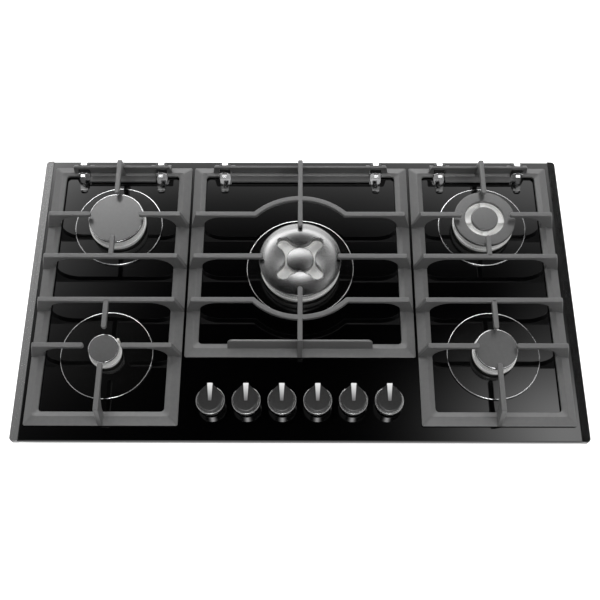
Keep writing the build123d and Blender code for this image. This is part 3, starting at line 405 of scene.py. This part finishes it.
def railLoop(shape, x0, x1, y0, y1, radius, z):
    # one rounded rectangle of edges
    corners = [shape.verts.new((x, y, z)) for x, y in ((x0, y0), (x1, y0), (x1, y1), (x0, y1))]
    shape.faces.new(corners)
    roundCorners(shape, corners, radius, 6)
    shape.faces.ensure_lookup_table()
    edges = shape.faces[0].edges[:]
    bmesh.ops.delete(shape, geom=shape.faces[:], context="FACES_ONLY")
    return edges


def railFrame(x0, x1, y0, y1, clips):
    # the low frame: six rounded loops bridged into a closed ring, opened where the clips stand
    s = support
    shape = bmesh.new()
    inner = s["railWidth"]
    levels = [
        (0, 0, s["outerRadius"], s["railBottom"]),
        (0, 0, s["outerRadius"], s["railEdge"]),
        (s["ridgeInset"], s["ridgeInset"], s["outerRadius"], s["ridge"]),
        (s["ridgeInset"] + s["ridgeFlat"], s["ridgeInset"] + s["ridgeFlat"], s["innerRadius"], s["ridge"]),
        (inner, s["backRailWidth"], s["innerRadius"], s["railInner"]),
        (inner, s["backRailWidth"], s["innerRadius"], s["railBottom"] + 0.01),
    ]
    loops = [
        railLoop(shape, x0 + inset, x1 - inset, y0 + inset, y1 - backInset, radius, z + glassTop)
        for inset, backInset, radius, z in levels
    ]
    for first, second in zip(loops, loops[1:] + loops[:1]):
        bmesh.ops.bridge_loops(shape, edges=first + second)
    bmesh.ops.recalc_face_normals(shape, faces=shape.faces)
    softenEdges(shape, s["railEdgeSoft"], minAngle=24, segments=2)
    for clip in clips:
        for side in (-1, 1):
            backGeom = [f for f in shape.faces if f.calc_center_median().y > y1 - 30]
            backGeom += list({e for f in backGeom for e in f.edges}) + list({v for f in backGeom for v in f.verts})
            bmesh.ops.bisect_plane(
                shape, geom=backGeom, dist=0.0001, plane_co=(clip + side * hinge["gapHalf"], 0, 0), plane_no=(1, 0, 0),
            )
        gone = [
            f for f in shape.faces
            if abs(f.calc_center_median().x - clip) < hinge["gapHalf"] and f.calc_center_median().y > y1 - 30
        ]
        bmesh.ops.delete(shape, geom=gone, context="FACES")
        bmesh.ops.holes_fill(shape, edges=[e for e in shape.edges if e.is_boundary], sides=0)
    bmesh.ops.recalc_face_normals(shape, faces=shape.faces)
    return shape


def lipShape(reach, slope, clips, corner=lipSize["corner"]):
    # an upright wall with a gap above each clip, leaning to the inside
    outline = [(-reach, 0), (-reach + slope, lipSize["rise"]), (reach - slope, lipSize["rise"]), (reach, 0)]
    for clip in sorted(clips, reverse=True):
        outline += [
            (clip + hinge["gapHalf"], 0), (clip + hinge["gapHalf"], lipSize["notch"]),
            (clip - hinge["gapHalf"], lipSize["notch"]), (clip - hinge["gapHalf"], 0),
        ]
    part = bmesh.new()
    corners = [part.verts.new((x, 0, z)) for x, z in outline]
    part.faces.new(corners)
    roundCorners(part, [corners[1], corners[2]], corner, 6)
    return thicken(part, lipSize["thick"], soft=0.8)


def addHinge(shape, clip):
    for side in (-1, 1):
        x0 = clip + side * hinge["gapHalf"]
        x1 = clip + side * (hinge["gapHalf"] + hinge["lugWidth"])
        lug = rodShape(hinge["lug"], hinge["lugWidth"], soft=0.5)
        turn = Matrix.Translation((min(x0, x1), hinge["y"], glassTop + hinge["height"])) @ Matrix.Rotation(math.radians(90), 4, "Y")
        addPart(shape, lug, turn)
        top = glassTop + hinge["height"] + hinge["lug"]
        addPart(shape, boxShape(min(x0, x1), max(x0, x1), hinge["y"] - 6, hinge["y"], glassTop + 5, top, soft=0.5))
    length = 2 * hinge["gapHalf"] + 2
    turn = Matrix.Translation((clip - length / 2, hinge["y"], glassTop + hinge["height"])) @ Matrix.Rotation(math.radians(90), 4, "Y")
    addPart(shape, rodShape(hinge["pin"], length), turn)


def placedBar(x, y, angle):
    return Matrix.Translation((x, y, glassTop)) @ Matrix.Rotation(math.radians(angle), 4, "Z")


def addBackDetails(shape, clips, lipX, lipReach):
    lipPlace = at(lipX, support["back"] - lipSize["inset"], glassTop + lipSize["start"])
    lip = lipShape(lipReach, 4, [clip - lipX for clip in clips])
    addPart(shape, lip, lipPlace @ Matrix.Rotation(math.radians(lipSize["lean"]), 4, "X"))
    y = support["back"] - support["backRailWidth"]
    x0 = clips[0] + hinge["gapHalf"]
    x1 = clips[1] - hinge["gapHalf"]
    addPart(shape, boxShape(x0, x1, y - 10.5, y + 1, glassTop + 2, glassTop + 6.5, soft=0.9))
    for clip in clips:
        addHinge(shape, clip)


def sideSupport(side):
    s = support
    x0, x1, x = sorted((side * s["sideOuter"], side * s["sideInner"])) + [side * cornerX]
    clips = [x - clipReach["side"], x + clipReach["side"]]
    shape = railFrame(x0, x1, s["sideFront"], s["back"], clips)
    for y in barYs[1:3]:
        addPart(shape, barShape(x1 - x0, s["railWidth"], s["railWidth"]), placedBar(x0, y, 0))
    for y, tip in ((barYs[0], s["smallTip"]), (barYs[3], s["largeTip"])):
        addPart(shape, barShape(x - tip - x0, s["railWidth"], 0), placedBar(x0, y, 0))
        addPart(shape, barShape(x1 - x - tip, s["railWidth"], 0), placedBar(x1, y, 180))
    addPart(shape, barShape(s["back"] - backY - s["largeTip"], s["backRailWidth"], 0), placedBar(x, s["back"], -90))
    addPart(shape, barShape(frontY - s["smallTip"] - s["sideFront"], s["railWidth"], 0), placedBar(x, s["sideFront"], 90))
    addPart(shape, fingerShape(backY - s["largeTip"] - barYs[2]), placedBar(x, barYs[2], 90))
    addPart(shape, fingerShape(barYs[1] - frontY - s["smallTip"]), placedBar(x, barYs[1], -90))
    addBackDetails(shape, clips, x, 86.5)
    return shape


def arcShape(radius, start, end):
    # a curved bar with rounded edges, spun about the large burner's middle
    half = support["bar"] / 2
    low = support["top"] - support["web"]
    part = bmesh.new()
    top = support["top"] - 0.1
    outline = [(radius - half, low), (radius + half, low), (radius + half, top), (radius - half, top)]
    corners = [part.verts.new((x, 0, z)) for x, z in outline]
    part.faces.new(corners)
    roundCorners(part, corners, support["edge"], 3)
    bmesh.ops.rotate(part, verts=part.verts, cent=(0, 0, 0), matrix=Matrix.Rotation(math.radians(start), 3, "Z"))
    bmesh.ops.spin(
        part, geom=part.faces[:], cent=(0, 0, 0), axis=(0, 0, 1), angle=math.radians(end - start),
        steps=40, use_merge=False,
    )
    bmesh.ops.recalc_face_normals(part, faces=part.faces)
    return part


def centreSupport():
    s = support
    halfWide = s["centreHalf"]
    clips = [-clipReach["centre"], clipReach["centre"]]
    shape = railFrame(-halfWide, halfWide, s["centreFront"], s["back"], clips)
    for y, toBack in ((barYs[3], 1), (barYs[1], -1)):
        meet = math.sqrt(s["arc"] ** 2 - (y - wokY) ** 2)
        for side, angle in ((-1, 0), (1, 180)):
            addPart(shape, barShape(halfWide - meet + 4, s["railWidth"], 0), placedBar(side * halfWide, y, angle))
        start = math.degrees(math.asin(abs(y - wokY) / s["arc"]))
        ends = (start, 180 - start) if toBack > 0 else (180 + start, 360 - start)
        addPart(shape, arcShape(s["arc"], *ends), placedBar(0, wokY, 0))
    for side, angle in ((-1, 0), (1, 180)):
        addPart(shape, barShape(halfWide - s["wokTipX"], s["railWidth"], 0), placedBar(side * halfWide, barYs[2], angle))
    addPart(shape, barShape(s["back"] - wokY - s["wokTipY"], s["backRailWidth"], 0), placedBar(0, s["back"], -90))
    addPart(shape, barShape(wokY - s["wokTipY"] - s["centreFront"], s["railWidth"], 0), placedBar(0, s["centreFront"], 90))
    addBackDetails(shape, clips, 0, 153.0)
    lipPlace = at(0, s["centreFront"] + lipSize["inset"], glassTop + lipSize["start"])
    addPart(shape, lipShape(117.0, 2, [], 7.5), lipPlace @ Matrix.Rotation(math.radians(-lipSize["lean"]), 4, "X"))
    return shape


finishPiece(sideSupport(-1), "leftPanSupport", "left_pan_support", castIron, ["left_grate"])
finishPiece(sideSupport(1), "rightPanSupport", "right_pan_support", castIron, ["right_grate"])
finishPiece(centreSupport(), "centrePanSupport", "centre_pan_support", castIron, ["centre_grate"])


print("burners")
burnerShape = {
    "plateTop": 3.3, "rimTop": 3.5, "rimRound": 0.9, "rimWidth": 1.2, "neckInset": 6.8, "crownWall": 5.0,
    "capBottom": 27.0, "capTop": 32.0, "capRound": 1.5, "capUnderRound": 0.5,
    "spigotDepth": 3.5, "spigotWall": 1.5, "spigotGap": 0.6, "beadWidth": 0.9, "beadDrop": 0.15, "beadRound": 0.7,
    "wokCap": 22.5, "wokCapEdge": 33.3, "wokCapPeak": 35.0, "wokCapRound": 1.2,
    "wokRingFall": 0.45, "wokRingInset": 0.96,
}


def plateShape(burner):
    # a thin plate with a hole for the cup's neck; its edge lies in the rim
    hole = burner["crown"] - burnerShape["neckInset"]
    edge = burner["plate"] - burnerShape["rimWidth"] / 2
    top = burnerShape["plateTop"]
    outline = [(hole, 0), (edge, 0), (edge, top), (hole, top)]
    return movedShape(spunShape(outline, 128), burner["x"], burner["y"])


def rimShape(burner, edge, low, top, width, rounded):
    # the bare polished bead round a plate or a cap
    outline = [(edge - width, low), (edge, low), (edge, top), (edge - width, top)]
    return movedShape(spunShape(outline, 128, {2: rounded}), burner["x"], burner["y"])


def capShape(burner, radius, chamber, hole=0.0):
    # a cap with a rounded rim and the ring under it that centres it in its crown
    s = burnerShape
    top, low = s["capTop"], s["capBottom"]
    ring = chamber - s["spigotGap"]
    inner = ring - s["spigotWall"]
    outline = [(hole, top), (radius, top), (radius, low), (ring, low), (ring, low - s["spigotDepth"])]
    outline += [(inner, low - s["spigotDepth"]), (inner, low), (hole, low)]
    rounding = {1: s["capRound"], 2: s["capUnderRound"]}
    if hole:
        rounding[0] = 0.9
    return movedShape(spunShape(outline, 128, rounding), burner["x"], burner["y"])


for burnerName, burner in burners.items():
    finishPiece(
        plateShape(burner), "plate_" + burnerName, "hob", plateEnamel,
        ["burner_plate_" + burnerName], 50,
    )
    s = burnerShape
    rim = rimShape(burner, burner["plate"], 0, s["rimTop"], s["rimWidth"], s["rimRound"])
    finishPiece(rim, "plateRim_" + burnerName, "hob", chrome, [], 50)
for burnerName in ("front_left", "front_right", "back_left"):
    burner = burners[burnerName]
    chamber = burner["crown"] - burnerShape["crownWall"]
    finishPiece(
        capShape(burner, burner["cap"], chamber), "cap_" + burnerName, "cap_" + burnerName,
        capEnamel, ["burner_cap_" + burnerName], 50,
    )
    s = burnerShape
    top = s["capTop"] - s["beadDrop"]
    bead = rimShape(burner, burner["cap"], top - s["capRound"], top, s["beadWidth"], s["beadRound"])
    finishPiece(bead, "capBead_" + burnerName, "cap_" + burnerName, chrome, [], 50)
dual = burners["back_right"]
finishPiece(
    capShape(dual, dual["cap"], dual["crown"] - burnerShape["crownWall"], hole=33.0), "cap_back_right_outer",
    "cap_back_right_outer", capEnamel, ["burner_cap_back_right_outer"], 50,
)
finishPiece(
    capShape(dual, 22.5, 16.5), "cap_back_right_inner", "cap_back_right_inner",
    capEnamel, ["burner_cap_back_right_inner"], 50,
)


def wokCapShape(burner):
    # the small cap in the middle of the large burner: a shallow dome with a rounded rim
    s = burnerShape
    edge, high, radius = s["wokCapEdge"], s["wokCapPeak"], s["wokCap"]
    ring = 16.5 - s["spigotGap"]
    inner = ring - s["spigotWall"]
    outline = [(0, high)]
    outline += [(radius * share / 8, high - (high - edge) * (share / 8) ** 2) for share in range(1, 9)]
    outline += [(radius, s["capBottom"]), (ring, s["capBottom"]), (ring, s["capBottom"] - s["spigotDepth"])]
    outline += [(inner, s["capBottom"] - s["spigotDepth"]), (inner, s["capBottom"]), (0, s["capBottom"])]
    return movedShape(spunShape(outline, 128, {8: s["wokCapRound"]}), burner["x"], burner["y"])


def wokRingShape():
    # the large ring cap with its four-lobed opening, its top as low as the photograph shows
    s = burnerShape
    part = bmesh.new()
    part.from_mesh(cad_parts["burner_cap_centre_outer"].data)
    bmesh.ops.scale(part, vec=(1 / mm, 1 / mm, 1 / mm), verts=part.verts)
    bmesh.ops.remove_doubles(part, verts=part.verts, dist=0.001)
    peak = max(v.co.z for v in part.verts)
    for v in part.verts:
        x, y = v.co.x, v.co.y - wokY
        if v.co.z > glassTop + s["capBottom"] + 1:
            v.co.z = peak - (peak - v.co.z) * s["wokRingFall"]
        elif math.hypot(x, y) > burners["centre"]["cap"] - 1:
            v.co.x = x * s["wokRingInset"]
            v.co.y = wokY + y * s["wokRingInset"]
    return part


finishPiece(
    wokRingShape(), "cap_centre_outer", "cap_centre_outer", wokCapMetal,
    ["burner_cap_centre_outer"], 50,
)
finishPiece(
    wokCapShape(burners["centre"]), "cap_centre_inner", "cap_centre_inner", wokCapMetal,
    ["burner_cap_centre_inner"], 50,
)


print("knobs")
knob = {
    "foot": 4.5, "footRadius": 20.0, "rim": 20.0, "rimRadius": 22.5, "wall": 2.0, "ringTop": 21.7,
    "gripRadius": 19.0, "tipRadius": 6.5, "tipPlace": 16.0, "frontHeight": 22.9, "backHeight": 38.3,
    "gripRound": 2.4, "hub": 8.0, "markBack": 22.4, "markFront": -3.0, "markWide": 8.6, "markNarrow": 5.0,
    "markRise": 0.45,
}


def knobTop(y):
    # the grip's top rises evenly from the front to the back
    share = (y + knob["gripRadius"]) / (knob["gripRadius"] + knob["rimRadius"])
    return knob["frontHeight"] + share * (knob["backHeight"] - knob["frontHeight"])


def skirtShape():
    k = knob
    outline = [
        (k["footRadius"] - k["wall"], k["foot"]), (k["footRadius"], k["foot"]), (k["rimRadius"] - 0.1, k["rim"] - 0.6),
        (k["rimRadius"] - 2.6, k["rim"] - 0.6), (k["rimRadius"] - 2.6, k["rim"] - 2),
    ]
    return spunShape(outline, 96, {1: 0.5})


def ringShape():
    # the bright bead between skirt and grip
    k = knob
    low = k["rim"] - 0.6
    outline = [(16.0, low), (k["rimRadius"], low), (k["rimRadius"], k["ringTop"]), (16.0, k["ringTop"])]
    return spunShape(outline, 96, {1: 0.3, 2: 0.9})


def gripShape():
    # the hull of two upright rounds, cut by a slope, with soft top edges
    part = bmesh.new()
    for radius, y in ((knob["gripRadius"], 0.0), (knob["tipRadius"], knob["tipPlace"])):
        for level in (-1, 1):
            bmesh.ops.create_circle(part, cap_ends=False, segments=72, radius=radius, matrix=at(0, y, level))
    for v in part.verts:
        v.co.z = knobTop(v.co.y) if v.co.z > 0 else knob["rim"] + 0.5
    bmesh.ops.convex_hull(part, input=part.verts[:], use_existing_faces=False)
    loose = [v for v in part.verts if not v.link_faces]
    bmesh.ops.delete(part, geom=loose, context="VERTS")
    wires = [e for e in part.edges if not e.link_faces]
    bmesh.ops.delete(part, geom=wires, context="EDGES")
    bmesh.ops.dissolve_limit(part, angle_limit=math.radians(0.5), verts=part.verts, edges=part.edges)
    topEdges = [e for e in part.edges if all(v.co.z > knob["rim"] + 1 for v in e.verts)]
    softenEdges(part, knob["gripRound"], segments=5, edges=topEdges)
    addPart(part, rodShape(knob["hub"], knob["rim"] - knob["foot"] + 1, segments=48), at(0, 0, knob["foot"]))
    return part


def markShape():
    # the light strip that points to the back, wider at the tip
    k = knob
    part = boxShape(-k["markWide"] / 2, k["markWide"] / 2, k["markFront"], k["markBack"], -9.0, 0.0)
    for v in part.verts:
        if v.co.y < 0:
            v.co.x *= k["markNarrow"] / k["markWide"]
        if v.co.z > -1:
            v.co.z = knobTop(v.co.y) + k["markRise"]
        else:
            v.co.z = knobTop(v.co.y) - (9.0 if v.co.y > 0 else 1.0)
    softenEdges(part, 1.1, segments=4)
    return part


for number, x in enumerate(tapXs, start=1):
    body = f"tap_knob_{number}"
    node = f"knob_{number}"
    finishPiece(movedShape(skirtShape(), x, tapY), f"knobSkirt{number}", body, knobMetal, [node])
    finishPiece(movedShape(ringShape(), x, tapY), f"knobRing{number}", body, knobMetal, [], 60)
    finishPiece(movedShape(gripShape(), x, tapY), f"knobGrip{number}", body, knobDark, [], 50)
    finishPiece(movedShape(markShape(), x, tapY), f"knobMark{number}", body, markWhitePaintedShade, [], 60)


print("clips")
clip = {
    "width": 20.0, "sheet": 1.5, "front": 219.3, "rear": 240.8, "frontHeight": 19.0, "shoulder": 15.0,
    "tabHalf": 4.0, "tabFront": 211.2, "rearHalf": 5.0, "curlStart": 6.8, "curlTurn": 125.0,
    "tongueTip": 193.0, "tongueHalf": 5.5, "soft": 0.45,
}


def clipProng():
    # the front wall with cut shoulders
    half = clip["width"] / 2
    top = clip["frontHeight"]
    part = bmesh.new()
    outline = [(-half, 0), (half, 0), (half, clip["shoulder"]), (half - 4, top), (4 - half, top), (-half, clip["shoulder"])]
    part.faces.new([part.verts.new((x, clip["front"], z)) for x, z in outline])
    return thicken(part, clip["sheet"], soft=clip["soft"])


def clipTongue():
    # a flat tongue that narrows to a rounded, turned-up end
    half = clip["width"] / 2
    tip = clip["tongueTip"]
    narrow = clip["tongueHalf"]
    part = bmesh.new()
    outline = [(-narrow, tip - 1.5), (narrow, tip - 1.5), (half, clip["front"] + 0.5), (-half, clip["front"] + 0.5)]
    corners = [part.verts.new((x, y, 0)) for x, y in outline]
    part.faces.new(corners)
    roundCorners(part, corners[:2], 3.4, 6)
    swept = bmesh.ops.extrude_face_region(part, geom=part.faces[:])
    moved = [g for g in swept["geom"] if isinstance(g, bmesh.types.BMVert)]
    bmesh.ops.translate(part, vec=(0, 0, clip["sheet"]), verts=moved)
    softenEdges(part, clip["soft"], segments=3)
    for y in (tip + 4, tip + 2):
        bmesh.ops.bisect_plane(part, geom=part.verts[:] + part.edges[:] + part.faces[:], plane_co=(0, y, 0), plane_no=(0, 1, 0))
    for v in part.verts:
        lift = max(0.0, tip + 4 - v.co.y)
        v.co.z += lift * lift * 0.045
    return part


def clipCurl():
    # the rear wall goes up and curls forwards over the hinge block
    inner = clip["curlStart"]
    outer = inner + clip["sheet"]
    half = clip["rearHalf"]
    part = bmesh.new()
    corners = [part.verts.new((x, y, 0)) for x, y in ((-half, inner), (half, inner), (half, outer), (-half, outer))]
    face = part.faces.new(corners)
    roundCorners(part, corners, clip["soft"], 2)
    part.faces.ensure_lookup_table()
    bmesh.ops.spin(
        part, geom=part.faces[:], cent=(0, 0, 0), axis=(1, 0, 0), angle=math.radians(clip["curlTurn"]),
        steps=24, use_merge=False,
    )
    return movedShape(part, 0, hinge["y"], hinge["height"])


def clipShape(x):
    half = clip["width"] / 2
    sheet = clip["sheet"]
    soft = clip["soft"]
    front, rear = clip["front"], clip["rear"]
    shape = boxShape(-half, half, front, rear + sheet, 0, sheet, soft, 3)
    addPart(shape, clipProng())
    tab = boxShape(-clip["tabHalf"], clip["tabHalf"], clip["tabFront"], front + sheet, clip["frontHeight"] - 0.9, clip["frontHeight"] + 0.6, 0.6, 3)
    addPart(shape, tab)
    addPart(shape, boxShape(-clip["rearHalf"], clip["rearHalf"], rear, rear + sheet, 0, hinge["height"] + 0.2, soft, 3))
    addPart(shape, clipCurl())
    return movedShape(shape, x, 0)


def tongueShape(x):
    # the tongue with the stud that holds it on the glass
    shape = clipTongue()
    addPart(shape, spunShape([(0, -8.5), (2.0, -8.5), (2.0, 2.2), (0, 2.2)], 32), at(0, 206.0, 0))
    addPart(shape, spunShape([(0, 1.4), (3.4, 1.4), (3.4, 3.0), (0, 3.0)], 32, {2: 1.2}), at(0, 206.0, 0))
    addPart(shape, spunShape([(0, -9.5), (3.5, -9.5), (3.5, -8.0), (0, -8.0)], 32), at(0, 206.0, 0))
    return movedShape(shape, x, 0)


clipXs = [side * cornerX + reach for side in (-1, 1) for reach in (-clipReach["side"], clipReach["side"])]
clipXs += [-clipReach["centre"], clipReach["centre"]]
allClips = bmesh.new()
allTongues = bmesh.new()
for x in clipXs:
    addPart(allClips, clipShape(x))
    addPart(allTongues, tongueShape(x))
finishPiece(allClips, "supportClips", "hob", chrome, ["grate_clips"])
finishPiece(allTongues, "clipTongues", "hob", clipSteel)


print("stage, light and camera")
floorShape = bmesh.new()
bmesh.ops.create_grid(floorShape, x_segments=1, y_segments=1, size=6.0)
floorMesh = bpy.data.meshes.new("studioFloor")
floorShape.to_mesh(floorMesh)
floorShape.free()
studioFloor = bpy.data.objects.new("studioFloor", floorMesh)
bpy.context.scene.collection.objects.link(studioFloor)
floorPaint = newMaterial("floorPaint", (0.8, 0.8, 0.8), roughness=0.9)
paths = addNode(floorPaint, "ShaderNodeLightPath")
seen = addNode(floorPaint, "ShaderNodeMath", operation="MAXIMUM")
link(floorPaint, paths.outputs["Is Camera Ray"], seen.inputs[0])
link(floorPaint, paths.outputs["Is Glossy Ray"], seen.inputs[1])
seenAll = addNode(floorPaint, "ShaderNodeMath", operation="MAXIMUM")
link(floorPaint, seen.outputs[0], seenAll.inputs[0])
link(floorPaint, paths.outputs["Is Transmission Ray"], seenAll.inputs[1])
glow = addNode(floorPaint, "ShaderNodeMath", operation="MULTIPLY")
glow.inputs[1].default_value = 0.72
link(floorPaint, seenAll.outputs[0], glow.inputs[0])
floorShader = floorPaint.node_tree.nodes["Principled BSDF"]
floorShader.inputs["Emission Color"].default_value = (1, 1, 1, 1)
link(floorPaint, glow.outputs[0], floorShader.inputs["Emission Strength"])
floorMesh.materials.append(floorPaint)

world = bpy.data.worlds.new("studio")
bpy.context.scene.world = world
world.use_nodes = True
worldNodes = world.node_tree.nodes
worldLinks = world.node_tree.links
background = worldNodes["Background"]
worldPaths = worldNodes.new("ShaderNodeLightPath")
shown = worldNodes.new("ShaderNodeMath")
shown.operation = "MAXIMUM"
worldLinks.new(worldPaths.outputs["Is Camera Ray"], shown.inputs[0])
worldLinks.new(worldPaths.outputs["Is Transmission Ray"], shown.inputs[1])


def worldMath(operation, first, second=None):
    node = worldNodes.new("ShaderNodeMath")
    node.operation = operation
    for socket, value in zip(node.inputs, (first, second)):
        if value is None:
            continue
        if isinstance(value, (int, float)):
            socket.default_value = value
        else:
            worldLinks.new(value, socket)
    return node.outputs[0]


# the studio that glass and metal mirror: soft panels at slopes x/z and y/z, a pale band low all round
studio = {
    "ambient": 0.55,
    "panels": [
        {"x": -0.1, "y": 0.8, "wide": 0.6, "deep": 0.116, "level": 9.0},
        {"x": -0.414, "y": 0.795, "wide": 0.135, "deep": 0.258, "level": 6.0},
        {"x": 0.361, "y": 0.624, "wide": 0.206, "deep": 0.07, "level": 1.53},
        {"x": 0.291, "y": 0.3, "wide": 0.102, "deep": 0.07, "level": 2.94},
        {"x": 0.305, "y": 0.1, "wide": 0.05, "deep": 0.27, "level": 1.54},
        {"x": 0.0, "y": -0.78, "wide": 0.2, "deep": 0.15, "level": 18.0},
    ],
    "rightEnd": (0.34, 0.44),
    "leftEnd": (-0.36, -0.46),
    "leftWall": {"start": -0.46, "full": -0.52, "near": (0.22, 0.25), "far": (0.7, 0.66)},
    "bandWide": 1.4,
    "front": {"start": -1.0, "full": -1.7, "level": 2.6},
    "back": {"start": 0.9, "full": 1.3, "level": 3.0},
    "left": {"start": -0.9, "full": -1.6, "level": 1.0},
    "rightWall": {"start": 0.7, "full": 0.95, "level": 0.45},
    "right": {"start": 1.2, "full": 2.0, "level": 1.0},
}
direction = worldNodes.new("ShaderNodeTexCoord")
split = worldNodes.new("ShaderNodeSeparateXYZ")
worldLinks.new(direction.outputs["Generated"], split.inputs[0])
height = worldMath("MAXIMUM", split.outputs["Z"], 0.02)
slopeX = worldMath("DIVIDE", split.outputs["X"], height)
slopeY = worldMath("DIVIDE", split.outputs["Y"], height)
level = 0.0
for panel in studio["panels"]:
    acrossX = worldMath("DIVIDE", worldMath("SUBTRACT", slopeX, panel["x"]), panel["wide"])
    acrossY = worldMath("DIVIDE", worldMath("SUBTRACT", slopeY, panel["y"]), panel["deep"])
    distance = worldMath("ADD", worldMath("MULTIPLY", acrossX, acrossX), worldMath("MULTIPLY", acrossY, acrossY))
    fade = worldMath("POWER", math.e, worldMath("MULTIPLY", distance, -1.0))
    level = worldMath("ADD", worldMath("MULTIPLY", fade, panel["level"]), level)


def softStep(value, start, full, levelAtFull=1.0):
    step = worldNodes.new("ShaderNodeMapRange")
    step.interpolation_type = "SMOOTHSTEP"
    step.inputs["From Min"].default_value = start
    step.inputs["From Max"].default_value = full
    step.inputs["To Max"].default_value = levelAtFull
    worldLinks.new(value, step.inputs["Value"])
    return step.outputs["Result"]


for end in ("rightEnd", "leftEnd"):
    level = worldMath("MULTIPLY", level, worldMath("SUBTRACT", 1.0, softStep(slopeX, *studio[end])))
wall = studio["leftWall"]
rise = worldNodes.new("ShaderNodeMapRange")
rise.inputs["From Min"].default_value, rise.inputs["To Min"].default_value = wall["near"]
rise.inputs["From Max"].default_value, rise.inputs["To Max"].default_value = wall["far"]
worldLinks.new(slopeY, rise.inputs["Value"])
leftLevel = worldMath("MULTIPLY", softStep(slopeX, wall["start"], wall["full"]), rise.outputs["Result"])
level = worldMath("MAXIMUM", level, leftLevel)
across = worldMath("DIVIDE", slopeX, studio["bandWide"])
narrow = worldMath("POWER", math.e, worldMath("MULTIPLY", worldMath("MULTIPLY", across, across), -1.0))
for side in ("front", "back"):
    band = studio[side]
    bandLevel = worldMath("MULTIPLY", softStep(slopeY, band["start"], band["full"], band["level"]), narrow)
    level = worldMath("MAXIMUM", level, bandLevel)
for side in ("left", "rightWall", "right"):
    band = studio[side]
    level = worldMath("MAXIMUM", level, softStep(slopeX, band["start"], band["full"], band["level"]))
glossyPart = worldMath("MULTIPLY", level, worldPaths.outputs["Is Glossy Ray"])
ambientPart = worldMath("MULTIPLY", worldPaths.outputs["Is Diffuse Ray"], studio["ambient"])
lit = worldMath("ADD", glossyPart, ambientPart)
total = worldMath("MAXIMUM", lit, shown.outputs[0])
background.inputs["Color"].default_value = (1, 1, 1, 1)
worldLinks.new(total, background.inputs["Strength"])

lampPlan = {
    "keyLamp": {"place": (-1.1, 0.9, 2.2), "target": (0, 0, 0.05), "size": (1.2, 0.9), "power": 22.0},
    "fillLamp": {"place": (1.5, -0.6, 1.8), "target": (0, 0, 0.05), "size": (1.0, 1.0), "power": 15.0},
    "backLamp": {"place": (0.2, 2.0, 1.6), "target": (0, 0.1, 0.05), "size": (1.6, 0.6), "power": 16.0},
}
for lampName, plan in lampPlan.items():
    lampData = bpy.data.lights.new(lampName, "AREA")
    lampData.shape = "RECTANGLE"
    lampData.size, lampData.size_y = plan["size"]
    lampData.energy = plan["power"]
    lamp = bpy.data.objects.new(lampName, lampData)
    lamp.visible_glossy = False
    lamp.location = plan["place"]
    lamp.rotation_euler = (Vector(plan["target"]) - Vector(plan["place"])).to_track_quat("-Z", "Y").to_euler()
    bpy.context.scene.collection.objects.link(lamp)

cameraPlan = {"place": (0.00279, -0.6512, 1.4477), "tilt": 24.63, "turn": 0.264, "roll": -0.132, "lens": 55.455}
cameraData = bpy.data.cameras.new("camera")
cameraData.lens = cameraPlan["lens"]
cameraData.sensor_width = 36.0
camera = bpy.data.objects.new("camera", cameraData)
bpy.context.scene.collection.objects.link(camera)
camera.matrix_world = (
    Matrix.Translation(cameraPlan["place"])
    @ Matrix.Rotation(math.radians(cameraPlan["turn"]), 4, "Z")
    @ Matrix.Rotation(math.radians(cameraPlan["tilt"]), 4, "X")
    @ Matrix.Rotation(math.radians(cameraPlan["roll"]), 4, "Z")
)
bpy.context.scene.camera = camera
bpy.context.scene.view_settings.view_transform = "Standard"
